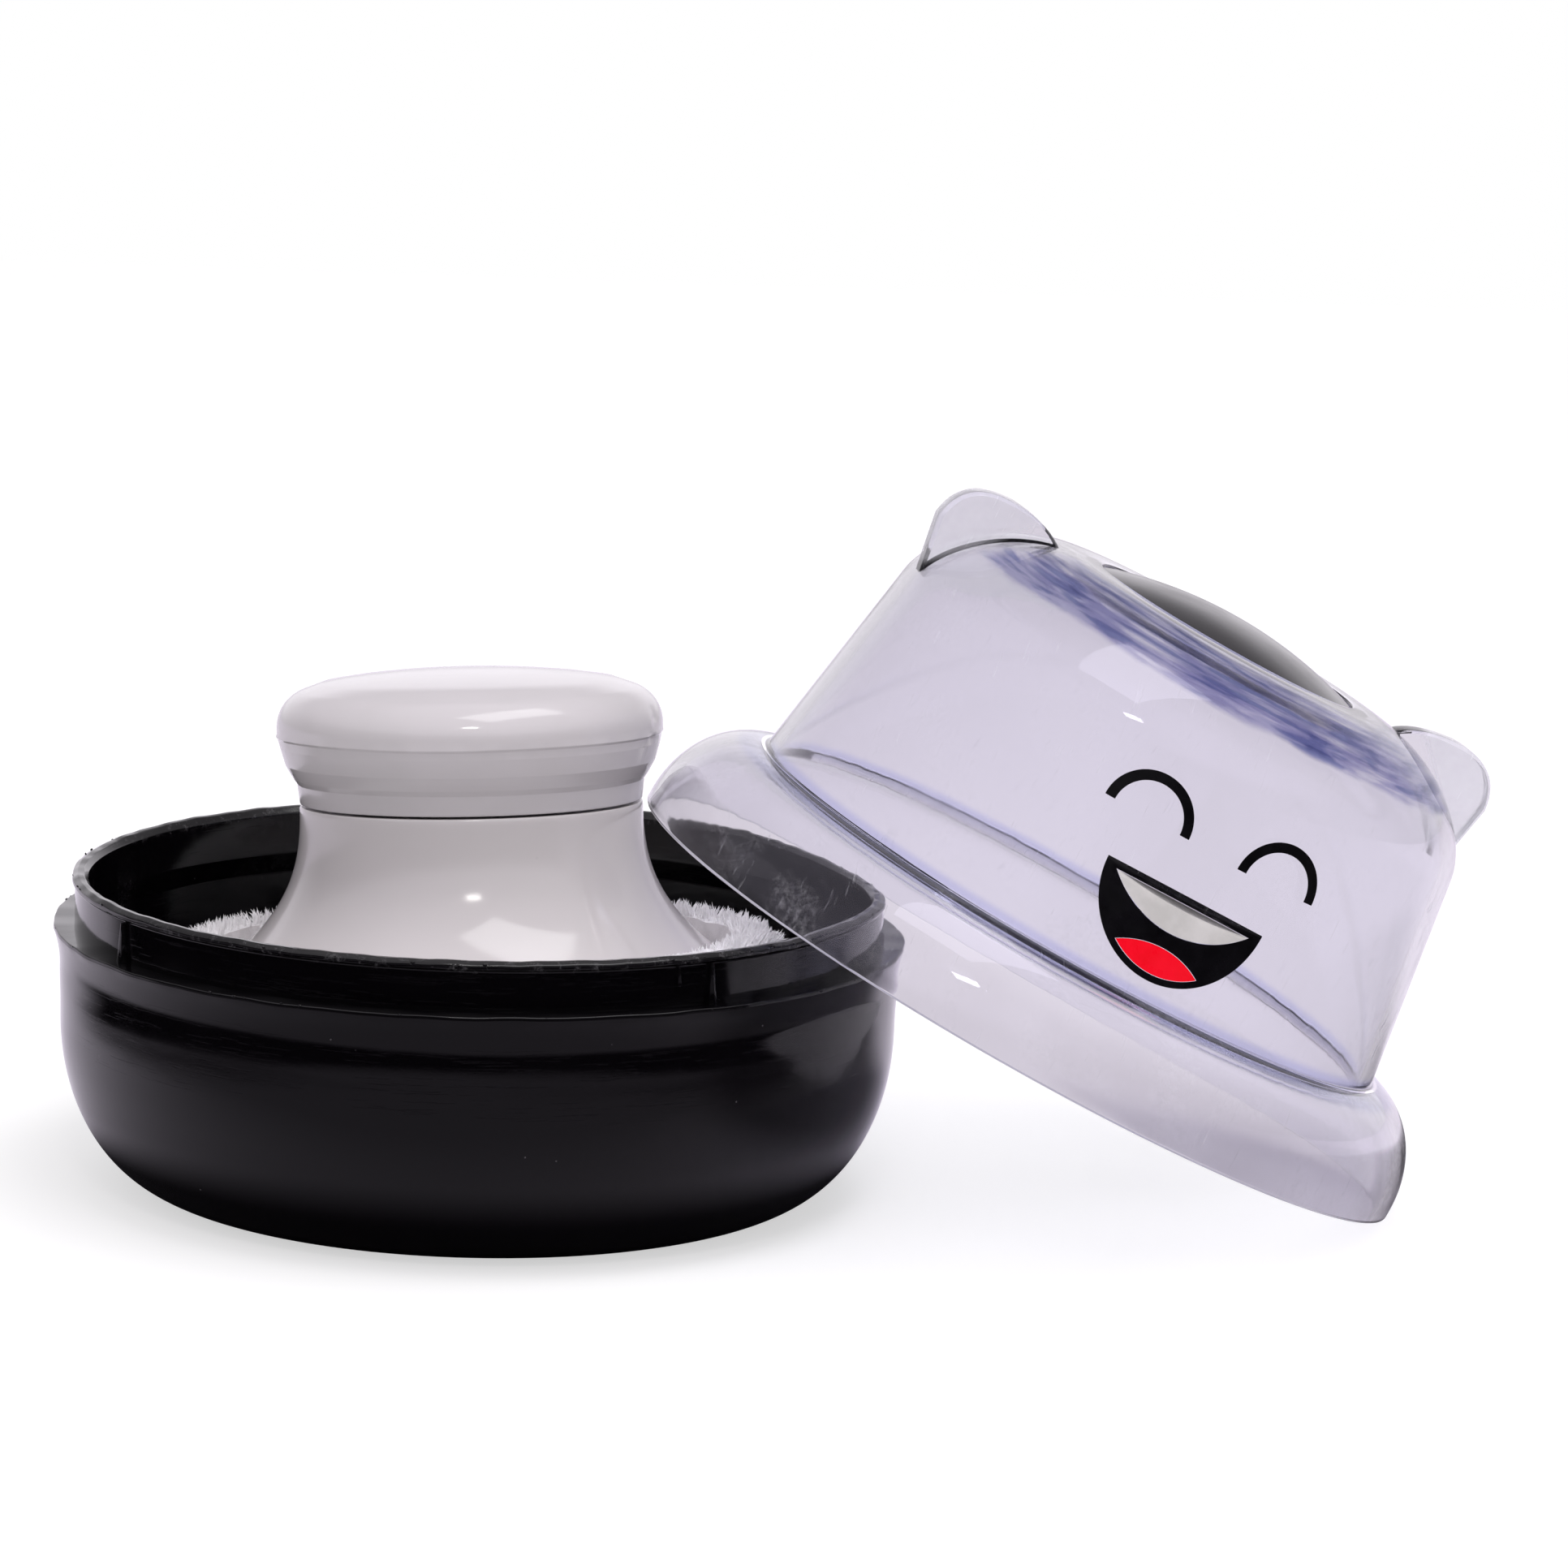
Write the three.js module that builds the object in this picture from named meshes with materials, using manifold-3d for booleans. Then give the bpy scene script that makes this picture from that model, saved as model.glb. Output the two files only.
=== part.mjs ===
// A powder puff box, open, with its lid leaning against it.
//
// A round black bowl stands on the table. A plush puff with a mushroom handle lies loose in it, leaning a
// little back and to the left. The clear lid has two bear ears, a black dome and a printed laughing face. It
// leans with one side of its mouth on the table and the other against the handle.
//
// Millimetres, +Z up. The origin is the centre of the bowl's flat base. The face looks towards -Y.

import Module from "manifold-3d";
import * as THREE from "three";
import { mergeVertices } from "three/addons/utils/BufferGeometryUtils.js";

const wasm = await Module();
wasm.setup();

// ---- Driving dimensions ----------------------------------------------------------------------------------

const GAP = 0.3; // left between pieces that touch
const DEGREE = Math.PI / 180;

const BOWL_SEGMENTS = 48;
const HANDLE_SEGMENTS = 36;

// Bowl
const LEDGE_RADIUS = 50; // the box's widest circle, where the closed lid sits
const LEDGE_Z = 31;
const LEDGE_THICKNESS = 1.6;
const LEDGE_EDGE = 0.4; // how much the ledge's edges are broken
const WALL_RADIUS = 49; // outside of the bowl under its ledge
const WALL_THICKNESS = 2.1;
const BASE_RADIUS = 35; // flat part of the base
const INNER_BASE_RADIUS = 33.4; // flat part of the floor inside
const ROUND_HEIGHT = 20; // the rounded foot of the wall ends here
const NECK_RADIUS = 47.5; // the lid slips over the neck
const NECK_THICKNESS = 1.6;
const NECK_HEIGHT = 5.8;
const RIM_BEAD = 0.3; // how far the bead at the rim stands out
const RIM_EDGE = 0.3; // how much the rim's edges are broken
const RIB_FOOT_WIDTH = 1.5;
const RIB_TIP_WIDTH = 0.7;
const RIB_DEPTH = 1.2;
const RIB_STANDS_OUT = 0.75; // past the neck
const RIB_SUNK = 0.2; // how far a rib's foot goes into the ledge
const RIB_ANGLES = [-146, -56, 34, 124]; // ribs that grip the lid, in degrees from +X
const SHORT_RIB_ANGLE = -61;

// Puff: heights are along its own axis, from the bowl's base when the puff stands upright
const HANDLE_TOP_Z = 61.2;
const CAP_RADIUS = 22.6;
const CAP_WIDEST_Z = 54.8;
const CAP_ROUND_START = 18; // the cap's top turns down from this radius
const CAP_ROUND_HEIGHT = 4.6;
const CAP_PARTING_DROP = 0.9; // the parting line is this far under the widest circle
const CAP_SKIRT_HEIGHT = 2.8; // the cap's neck, above the waist
const WAIST_RADIUS = 20.1;
const WAIST_Z = 45.8; // where cap and bell meet
const BELL_BASE_RADIUS = 30;
const BELL_BASE_Z = 26.8;
const BELL_FLARE = 2.7; // power of the flare's curve
const HANDLE_WALL = 2;
const PLUG_DEPTH = 4.5; // the cap's plug in the bell's bore
const PLUG_WALL = 1.8;
const DISC_THICKNESS = 1.8;
const COLLAR_RADIUS = 25.2; // the disc's collar, inside the bell's foot
const COLLAR_WALL = 1.4;
const COLLAR_HEIGHT = 1.6;
const PLUSH_RADIUS = 36.8;
const PLUSH_TOP_Z = 30.6;
const PLUSH_BOTTOM_Z = 3.6;
const PLUSH_WIDEST_Z = 21;
const PLUSH_THICKNESS = 4.4; // under the core
const PLUSH_EDGE = 4.5; // radius of the round edge at the top of the pile
const CORE_RADIUS = 26;
const CORE_CLEARANCE = 0.5; // between the core and the plush
const CORE_ROUND_START = 12;
const PUFF_PIVOT = new THREE.Vector3(-1, -0.5, 36); // the point that the lean turns about
const PUFF_LEAN_BACK = 5;
const PUFF_LEAN_LEFT = 2.7;

// Lid: heights are along its own axis, from its mouth
const FLANGE_HEIGHT = 12.6;
const FLANGE_STEP_RADIUS = 40.8; // foot of the wall, above the flange
const LID_WALL_TOP_RADIUS = 36.6;
const LID_WALL_TOP = 40.2;
const LID_HEIGHT = 50.2;
const LID_FLAT_RADIUS = 20; // flat part of the lid's top
const LID_WALL = 1.5;
const LID_TOP_THICKNESS = 2.6;
const FLANGE_WALL = 1.4;
const FLANGE_LIP = 1; // straight part of the flange, at the mouth
const SHOULDER_BULGE = 1.25; // 1 gives an ellipse, and more cuts the corner
const DOME_RADIUS = 16.5;
const DOME_HEIGHT = 3;
const DOME_RIM = 0.4; // straight part of the dome's edge
const DOME_WALL = 1.3;
const SEAT_DEPTH = 1; // of the dome's seat in the lid's top
const EAR_THICKNESS = 3.6;
const EAR_INNER = 22; // from the lid's axis
const EAR_OUTER = 37.8; // from the lid's axis
const EAR_TOP = 52.1;
const LID_TILT = 27.4; // towards +X
const LID_LEAN_BACK = 2.9; // towards +Y
const LID_SPIN = 10; // turns the face towards +X
const LID_MOUTH_X = 63.4;
const LID_MOUTH_Y = 2.2;

// Printed face: x is from the middle of the face, and height is from the lid's mouth
const INK_THICKNESS = 0.3;
const EYE_SPACING = 17;
const EYE_RADIUS = 5.2;
const EYE_STROKE = 1.05;
const EYE_HEIGHT = 31;
const MOUTH_RADIUS = 10.2;
const MOUTH_HEIGHT = 25;
const TEETH_HALF_WIDTH = 8.7;
const TEETH_DEPTH = 3.5;
const TONGUE_RADIUS = 8.9;
const TONGUE_TOP = 18.8;
const MOUTH_OUTLINE = 0.9;

// ---- Geometry helpers ------------------------------------------------------------------------------------

const at = (r, z) => new THREE.Vector2(r, z);

// Points on a quarter or more of an ellipse round (r, z). A bulge above 1 flattens it towards a chamfer.
function arc(r, z, radiusR, radiusZ, fromDegrees, toDegrees, steps, bulge = 1) {
  const points = [];
  for (let i = 0; i <= steps; i++) {
    const angle = (fromDegrees + ((toDegrees - fromDegrees) * i) / steps) * DEGREE;
    const c = Math.cos(angle);
    const s = Math.sin(angle);
    points.push(
      at(
        r + radiusR * Math.sign(c) * Math.abs(c) ** bulge,
        z + radiusZ * Math.sign(s) * Math.abs(s) ** bulge,
      ),
    );
  }
  return points;
}

// Points on a shallow spherical cap over the circle of this radius at height z, from its edge to its apex.
function shallowCap(radius, z, rise, steps) {
  const ball = (radius ** 2 + rise ** 2) / (2 * rise);
  const half = Math.asin(radius / ball) / DEGREE;
  return arc(0, z + rise - ball, ball, ball, 90 - half, 90, steps);
}

// Turns a profile round Z. It runs anticlockwise, with the radius to the right and Z up.
function revolve(profile, segments) {
  const points = profile.filter((p, i) => i === 0 || p.distanceTo(profile[i - 1]) > 1e-6);
  return new THREE.LatheGeometry(points, segments).rotateX(Math.PI / 2);
}

// Turns a profile that doesn't reach the axis, by closing it on itself.
function revolveRing(profile, segments) {
  return revolve([...profile, profile[0].clone()], segments);
}

// A plate of the shape drawn in X and Z, with its thickness centred on y.
function plate(shape, thickness, y, curveSegments) {
  const geometry = new THREE.ExtrudeGeometry(shape, {
    depth: thickness,
    bevelEnabled: false,
    curveSegments,
  });
  return geometry.rotateX(Math.PI / 2).translate(0, y + thickness / 2, 0);
}

// The closed mesh as a solid, with shared vertices merged and collapsed triangles left out.
function toSolid(geometry) {
  const bare = geometry.clone();
  bare.deleteAttribute("normal");
  bare.deleteAttribute("uv");
  const merged = mergeVertices(bare, 1e-4);
  const index = merged.index.array;
  const triangles = [];
  for (let i = 0; i < index.length; i += 3) {
    const [a, b, c] = index.slice(i, i + 3);
    if (a !== b && b !== c && c !== a) {
      triangles.push(a, b, c);
    }
  }
  const mesh = new wasm.Mesh({
    numProp: 3,
    vertProperties: Float32Array.from(merged.attributes.position.array),
    triVerts: Uint32Array.from(triangles),
  });
  return new wasm.Manifold(mesh);
}

function toGeometry(solid) {
  const mesh = solid.getMesh();
  const geometry = new THREE.BufferGeometry();
  geometry.setAttribute("position", new THREE.BufferAttribute(mesh.vertProperties, 3));
  geometry.setIndex(new THREE.BufferAttribute(mesh.triVerts, 1));
  geometry.computeVertexNormals();
  return geometry;
}

// ---- Materials -------------------------------------------------------------------------------------------

function finish(color, roughness, extra = {}) {
  return new THREE.MeshStandardMaterial({ color, roughness, metalness: 0, ...extra });
}

function named(name, geometry, material) {
  const mesh = new THREE.Mesh(geometry, material);
  mesh.name = name;
  return mesh;
}

// ---- Bowl ------------------------------------------------------------------------------------------------

// A rib on the neck, wide at the ledge and narrow at the rim.
function neckRib(angle, height) {
  const shape = new THREE.Shape();
  shape.moveTo(-RIB_FOOT_WIDTH / 2, 0);
  shape.lineTo(RIB_FOOT_WIDTH / 2, 0);
  shape.lineTo(RIB_TIP_WIDTH / 2, height);
  shape.lineTo(-RIB_TIP_WIDTH / 2, height);
  shape.closePath();
  const middle = NECK_RADIUS + RIB_STANDS_OUT - RIB_DEPTH / 2;
  const rib = plate(shape, RIB_DEPTH, -middle, 1);
  return rib.translate(0, 0, LEDGE_Z - RIB_SUNK).rotateZ((angle + 90) * DEGREE);
}

function bowl() {
  const rimZ = LEDGE_Z + NECK_HEIGHT;
  const ledgeBottom = LEDGE_Z - LEDGE_THICKNESS;
  const beadBottom = rimZ - RIM_EDGE - 2 * RIM_BEAD;
  const innerRadius = WALL_RADIUS - WALL_THICKNESS;
  const neckInner = NECK_RADIUS - NECK_THICKNESS;
  const innerRound = innerRadius - INNER_BASE_RADIUS;
  const profile = [
    at(0, 0),
    ...arc(BASE_RADIUS, ROUND_HEIGHT, WALL_RADIUS - BASE_RADIUS, ROUND_HEIGHT, -90, 0, 10),
    at(WALL_RADIUS, ledgeBottom),
    at(LEDGE_RADIUS - LEDGE_EDGE, ledgeBottom),
    at(LEDGE_RADIUS, ledgeBottom + LEDGE_EDGE),
    at(LEDGE_RADIUS, LEDGE_Z - LEDGE_EDGE),
    at(LEDGE_RADIUS - LEDGE_EDGE, LEDGE_Z),
    at(NECK_RADIUS, LEDGE_Z),
    at(NECK_RADIUS, beadBottom),
    at(NECK_RADIUS + RIM_BEAD, beadBottom + RIM_BEAD),
    at(NECK_RADIUS + RIM_BEAD, rimZ - RIM_EDGE),
    at(NECK_RADIUS - RIM_EDGE, rimZ),
    at(neckInner + RIM_EDGE, rimZ),
    at(neckInner, rimZ - RIM_EDGE),
    at(neckInner, LEDGE_Z),
    at(innerRadius, ledgeBottom - RIM_EDGE),
    ...arc(INNER_BASE_RADIUS, ROUND_HEIGHT, innerRound, ROUND_HEIGHT - WALL_THICKNESS, 0, -90, 9),
    at(0, WALL_THICKNESS),
  ];
  const ribHeight = beadBottom - LEDGE_Z + RIB_SUNK;
  let solid = toSolid(revolve(profile, BOWL_SEGMENTS));
  for (const angle of RIB_ANGLES) {
    solid = solid.add(toSolid(neckRib(angle, ribHeight)));
  }
  solid = solid.add(toSolid(neckRib(SHORT_RIB_ANGLE, NECK_HEIGHT / 2)));
  return named("bowl", toGeometry(solid), finish(0x0b0b0d, 0.14));
}

// ---- Puff ------------------------------------------------------------------------------------------------

// The button that the fingers hold. Its hollow plug presses into the bell.
function handleCap() {
  const boreRadius = WAIST_RADIUS - HANDLE_WALL;
  const plugRadius = boreRadius - GAP;
  const plugInner = plugRadius - PLUG_WALL;
  const plugBottom = WAIST_Z - PLUG_DEPTH;
  const seatZ = WAIST_Z + GAP / 2;
  const partingZ = CAP_WIDEST_Z - CAP_PARTING_DROP;
  const skirtZ = WAIST_Z + CAP_SKIRT_HEIGHT;
  const ceilingZ = HANDLE_TOP_Z - HANDLE_WALL;
  const profile = [
    at(0, ceilingZ),
    at(plugInner - 2, ceilingZ - 1),
    at(plugInner, ceilingZ - 3),
    at(plugInner, plugBottom),
    at(plugRadius, plugBottom),
    at(plugRadius, seatZ),
    at(WAIST_RADIUS, seatZ),
    at(WAIST_RADIUS + 0.3, skirtZ),
    at(WAIST_RADIUS + 0.6, skirtZ + 0.2),
    at(CAP_RADIUS - 0.8, skirtZ + 2),
    at(CAP_RADIUS - 0.25, partingZ - 0.1),
    at(CAP_RADIUS, partingZ),
    ...arc(CAP_ROUND_START, CAP_WIDEST_Z, CAP_RADIUS - CAP_ROUND_START, CAP_ROUND_HEIGHT, 0, 75, 6),
    at(CAP_ROUND_START * 0.66, HANDLE_TOP_Z - 0.75),
    at(CAP_ROUND_START * 0.33, HANDLE_TOP_Z - 0.2),
    at(0, HANDLE_TOP_Z),
  ];
  return named("handle_cap", revolve(profile, HANDLE_SEGMENTS), finish(0xe6e2e4, 0.22));
}

// Radius of the bell's outside at a height: nearly straight under the waist, then flared.
function bellRadius(z) {
  const share = (WAIST_Z - z) / (WAIST_Z - BELL_BASE_Z);
  return WAIST_RADIUS + (BELL_BASE_RADIUS - WAIST_RADIUS) * share ** BELL_FLARE;
}

function handleBell() {
  const top = WAIST_Z - GAP / 2;
  const heights = [0, 0.18, 0.34, 0.48, 0.6, 0.7, 0.8, 0.89, 1].map(
    (share) => BELL_BASE_Z + (top - BELL_BASE_Z) * (1 - share),
  );
  const outside = heights.map((z) => at(bellRadius(z), z)).reverse();
  const inside = heights.map((z) => at(bellRadius(z) - HANDLE_WALL, z));
  const profile = [...outside, ...inside];
  return named("handle_bell", revolveRing(profile, HANDLE_SEGMENTS), finish(0xe9e6e6, 0.2));
}

// The plate that closes the bell and that the plush is gathered over. Its collar locates it in the bell.
function backingDisc() {
  const top = BELL_BASE_Z - GAP;
  const bottom = top - DISC_THICKNESS;
  const rim = BELL_BASE_RADIUS - 0.5;
  const collarInner = COLLAR_RADIUS - COLLAR_WALL;
  const profile = [
    at(0, bottom),
    at(rim, bottom),
    at(rim, top),
    at(COLLAR_RADIUS, top),
    at(COLLAR_RADIUS, top + COLLAR_HEIGHT),
    at(collarInner, top + COLLAR_HEIGHT),
    at(collarInner, top),
    at(0, top),
  ];
  return named("backing_disc", revolve(profile, HANDLE_SEGMENTS), finish(0xdedbd9, 0.5));
}

function foamCore() {
  const top = BELL_BASE_Z - DISC_THICKNESS - 2 * GAP;
  const bottom = PLUSH_BOTTOM_Z + PLUSH_THICKNESS + CORE_CLEARANCE;
  const roundTop = top - 3;
  const profile = [
    at(0, bottom),
    ...arc(CORE_ROUND_START, roundTop, CORE_RADIUS - CORE_ROUND_START, roundTop - bottom, -90, 0, 5),
    at(CORE_RADIUS, top),
    at(0, top),
  ];
  return named("foam_core", revolve(profile, 24), finish(0xf1e9c9, 0.95));
}

// The plush bag round the core and the disc, with its pile standing up round the foot of the bell.
function plushCover() {
  const mouth = BELL_BASE_RADIUS + 0.5;
  const seat = BELL_BASE_Z - DISC_THICKNESS - 2 * GAP;
  const coreSide = CORE_RADIUS + CORE_CLEARANCE;
  const floor = PLUSH_BOTTOM_Z + PLUSH_THICKNESS;
  const roundTop = seat - 3;
  const flat = 8;
  const edge = PLUSH_EDGE;
  const profile = [
    at(0, PLUSH_BOTTOM_Z),
    ...arc(flat, PLUSH_WIDEST_Z, PLUSH_RADIUS - flat, PLUSH_WIDEST_Z - PLUSH_BOTTOM_Z, -90, 0, 7, 0.9),
    ...arc(PLUSH_RADIUS - edge, PLUSH_TOP_Z - edge, edge, edge, 0, 90, 3),
    at(mouth, PLUSH_TOP_Z - 0.5),
    at(mouth, seat),
    at(coreSide, seat),
    ...arc(CORE_ROUND_START, roundTop, coreSide - CORE_ROUND_START, roundTop - floor, 0, -90, 4),
    at(0, floor),
  ];
  return named("plush_cover", revolve(profile, 32), finish(0xf7f5f3, 0.95));
}

function puff() {
  const upright = new THREE.Group();
  upright.add(handleCap(), handleBell(), backingDisc(), foamCore(), plushCover());
  upright.position.z = -PUFF_PIVOT.z;
  const leaning = new THREE.Group();
  leaning.add(upright);
  leaning.position.copy(PUFF_PIVOT);
  leaning.rotation.set(-PUFF_LEAN_BACK * DEGREE, -PUFF_LEAN_LEFT * DEGREE, 0);
  return leaning;
}

// ---- Lid -------------------------------------------------------------------------------------------------

// Radius of the lid's outside on its wall, between the flange and the shoulder.
function lidWallRadius(height) {
  const share = (height - FLANGE_HEIGHT) / (LID_WALL_TOP - FLANGE_HEIGHT);
  return FLANGE_STEP_RADIUS + (LID_WALL_TOP_RADIUS - FLANGE_STEP_RADIUS) * share;
}

function lidOutside() {
  const flangeWidth = LEDGE_RADIUS - FLANGE_STEP_RADIUS;
  const shoulderWidth = LID_WALL_TOP_RADIUS - LID_FLAT_RADIUS;
  const shoulderHeight = LID_HEIGHT - LID_WALL_TOP;
  const seatRadius = DOME_RADIUS + GAP;
  return [
    at(0, 0),
    at(LEDGE_RADIUS, 0),
    ...arc(FLANGE_STEP_RADIUS, FLANGE_LIP, flangeWidth, FLANGE_HEIGHT - FLANGE_LIP, 0, 90, 7),
    ...arc(LID_FLAT_RADIUS, LID_WALL_TOP, shoulderWidth, shoulderHeight, 0, 90, 7, SHOULDER_BULGE),
    at(seatRadius, LID_HEIGHT),
    at(seatRadius, LID_HEIGHT - SEAT_DEPTH),
    at(0, LID_HEIGHT - SEAT_DEPTH),
  ];
}

// The hollow, drawn on past the lid's mouth so that it cuts it open.
function lidInside() {
  const below = -5;
  const flangeRadius = LEDGE_RADIUS - FLANGE_WALL;
  const stepRadius = FLANGE_STEP_RADIUS - LID_WALL;
  const stepHeight = FLANGE_HEIGHT - LID_WALL - FLANGE_LIP;
  const wallTop = LID_WALL_TOP - LID_WALL;
  const flatRadius = LID_FLAT_RADIUS - LID_WALL;
  const topRadius = LID_WALL_TOP_RADIUS - LID_WALL;
  const ceiling = LID_HEIGHT - LID_TOP_THICKNESS;
  return [
    at(0, below),
    at(flangeRadius, below),
    ...arc(stepRadius, FLANGE_LIP, flangeRadius - stepRadius, stepHeight, 0, 90, 7),
    ...arc(flatRadius, wallTop, topRadius - flatRadius, ceiling - wallTop, 0, 90, 6, SHOULDER_BULGE),
    at(0, ceiling),
  ];
}

// An ear is a flat lobe that stands on the lid's shoulder and follows the line of its wall.
function ear(side) {
  const peak = side * 30.5;
  const outer = side * EAR_OUTER;
  const corner = side * (EAR_OUTER - 0.5);
  const shape = new THREE.Shape();
  shape.moveTo(side * EAR_INNER, LID_HEIGHT - 1);
  shape.quadraticCurveTo(side * (EAR_INNER + 2.5), EAR_TOP - 0.4, peak, EAR_TOP);
  shape.bezierCurveTo(side * 34, EAR_TOP, corner, EAR_TOP - 1, outer, EAR_TOP - 5.6);
  shape.lineTo(side * (LID_WALL_TOP_RADIUS + 0.3), LID_WALL_TOP - 0.3);
  shape.lineTo(side * 30, LID_WALL_TOP - 2);
  shape.closePath();
  return plate(shape, EAR_THICKNESS, 0, 6);
}

function lidShell() {
  const solid = toSolid(revolve(lidOutside(), BOWL_SEGMENTS))
    .add(toSolid(ear(-1)))
    .add(toSolid(ear(1)))
    .subtract(toSolid(revolve(lidInside(), BOWL_SEGMENTS)));
  const material = finish(0xd3cfe0, 0.08, { transparent: true, opacity: 0.4 });
  return named("lid_shell", toGeometry(solid), material);
}

// The domed button in its seat in the middle of the lid's top, open underneath.
function lidDome() {
  const bottom = LID_HEIGHT - SEAT_DEPTH + GAP;
  const profile = [
    ...shallowCap(DOME_RADIUS - DOME_WALL, bottom, DOME_HEIGHT - DOME_WALL, 6).reverse(),
    at(DOME_RADIUS, bottom),
    ...shallowCap(DOME_RADIUS, bottom + DOME_RIM, DOME_HEIGHT - DOME_RIM, 8),
  ];
  return named("lid_dome", revolve(profile, HANDLE_SEGMENTS), finish(0x101012, 0.2));
}

// ---- Printed face ----------------------------------------------------------------------------------------

// A thin skin a gap outside the lid's wall, which the printed areas are cut from.
function inkSkin() {
  const low = FLANGE_HEIGHT + 0.6;
  const high = LID_WALL_TOP - 1;
  const layer = (height, offset) => at(lidWallRadius(height) + offset, height);
  const profile = [
    layer(low, GAP),
    layer(low, GAP + INK_THICKNESS),
    layer(high, GAP + INK_THICKNESS),
    layer(high, GAP),
  ];
  return toSolid(revolveRing(profile, BOWL_SEGMENTS));
}

// The printed area that a shape drawn on the front view covers.
function printed(name, shape, color) {
  const reach = 30;
  const front = plate(shape, reach, -LID_WALL_TOP_RADIUS, 10);
  const area = toSolid(front).intersect(inkSkin());
  return named(name, toGeometry(area), finish(color, 0.35));
}

// A laughing eye is an arch, open below.
function eyeShape(x) {
  const shape = new THREE.Shape();
  shape.absarc(x, EYE_HEIGHT, EYE_RADIUS, 0, Math.PI, false);
  shape.absarc(x, EYE_HEIGHT, EYE_RADIUS - EYE_STROKE, Math.PI, 0, true);
  shape.closePath();
  return shape;
}

// A crescent under a straight edge: the upper teeth. A margin moves its outline out.
function teethShape(margin) {
  const top = MOUTH_HEIGHT - MOUTH_OUTLINE;
  const curve = (TEETH_HALF_WIDTH ** 2 + TEETH_DEPTH ** 2) / (2 * TEETH_DEPTH);
  const centre = top - TEETH_DEPTH + curve;
  const radius = curve + margin;
  const half = Math.acos((centre - top - margin) / radius);
  const shape = new THREE.Shape();
  shape.absarc(0, centre, radius, -Math.PI / 2 - half, -Math.PI / 2 + half, false);
  shape.closePath();
  return shape;
}

// The tongue lies in the bottom of the mouth, between its outline and a round top edge.
function tongueShape(margin) {
  const outer = MOUTH_RADIUS - MOUTH_OUTLINE + margin;
  const radius = TONGUE_RADIUS + margin;
  const centre = TONGUE_TOP - TONGUE_RADIUS;
  const rise = MOUTH_HEIGHT - centre;
  // Both circles are centred on x = 0 and cross this far below the mouth's centre.
  const below = (outer ** 2 - radius ** 2 + rise ** 2) / (2 * rise);
  const lower = Math.acos(below / outer);
  const upper = Math.acos((rise - below) / radius);
  const shape = new THREE.Shape();
  shape.absarc(0, MOUTH_HEIGHT, outer, -Math.PI / 2 - lower, -Math.PI / 2 + lower, false);
  shape.absarc(0, centre, radius, Math.PI / 2 - upper, Math.PI / 2 + upper, false);
  shape.closePath();
  return shape;
}

// The open mouth is a half disc, printed all round the teeth and the tongue.
function mouthShape() {
  const shape = new THREE.Shape();
  shape.absarc(0, MOUTH_HEIGHT, MOUTH_RADIUS, -Math.PI, 0, false);
  shape.closePath();
  shape.holes.push(teethShape(GAP / 2), tongueShape(GAP / 2));
  return shape;
}

function face() {
  return [
    printed("print_left_eye", eyeShape(-EYE_SPACING / 2), 0x0c0c0e),
    printed("print_right_eye", eyeShape(EYE_SPACING / 2), 0x0c0c0e),
    printed("print_mouth", mouthShape(), 0x0c0c0e),
    printed("print_teeth", teethShape(-GAP / 2), 0xe4e3da),
    printed("print_tongue", tongueShape(-GAP / 2), 0xf2041f),
  ];
}

// The lid leans so that its mouth's lowest point is on the table.
function lid() {
  const group = new THREE.Group();
  group.add(lidShell(), lidDome(), ...face());
  const fromVertical = Math.acos(Math.cos(LID_TILT * DEGREE) * Math.cos(LID_LEAN_BACK * DEGREE));
  group.position.set(LID_MOUTH_X, LID_MOUTH_Y, LEDGE_RADIUS * Math.sin(fromVertical));
  group.rotation.set(-LID_LEAN_BACK * DEGREE, LID_TILT * DEGREE, LID_SPIN * DEGREE);
  return group;
}

// ---- Assembly --------------------------------------------------------------------------------------------

const powderPuffBox = new THREE.Group();
powderPuffBox.add(bowl(), puff(), lid());

export default powderPuffBox;
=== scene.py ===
"""A powder puff box, open: black bowl, plush puff with a mushroom handle, and a clear lid leaning on it.

Profiles are in millimetres, as (radius, height) pairs round a piece's own axis, and every mesh is in metres.
The bowl, the puff and the lid each have a frame of their own, whose Z is the piece's axis.
"""

import math

import bmesh
import bpy
import numpy as np
from mathutils import Matrix, Vector, geometry

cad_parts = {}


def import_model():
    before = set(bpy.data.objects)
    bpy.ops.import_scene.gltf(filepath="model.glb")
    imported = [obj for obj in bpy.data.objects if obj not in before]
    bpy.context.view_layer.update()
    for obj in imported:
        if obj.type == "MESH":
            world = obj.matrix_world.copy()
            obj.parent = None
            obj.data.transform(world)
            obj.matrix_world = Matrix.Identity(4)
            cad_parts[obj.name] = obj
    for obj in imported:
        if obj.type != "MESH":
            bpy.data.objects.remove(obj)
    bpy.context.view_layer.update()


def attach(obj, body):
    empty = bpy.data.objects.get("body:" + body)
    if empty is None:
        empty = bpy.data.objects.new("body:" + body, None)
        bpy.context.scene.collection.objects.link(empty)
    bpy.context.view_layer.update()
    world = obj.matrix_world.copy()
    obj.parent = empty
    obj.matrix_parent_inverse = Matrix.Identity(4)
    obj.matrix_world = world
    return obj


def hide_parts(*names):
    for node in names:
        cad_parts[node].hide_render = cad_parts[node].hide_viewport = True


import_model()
scene = bpy.context.scene
MM = 0.001

# ---- Frames of the three bodies --------------------------------------------------------------------------

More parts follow.
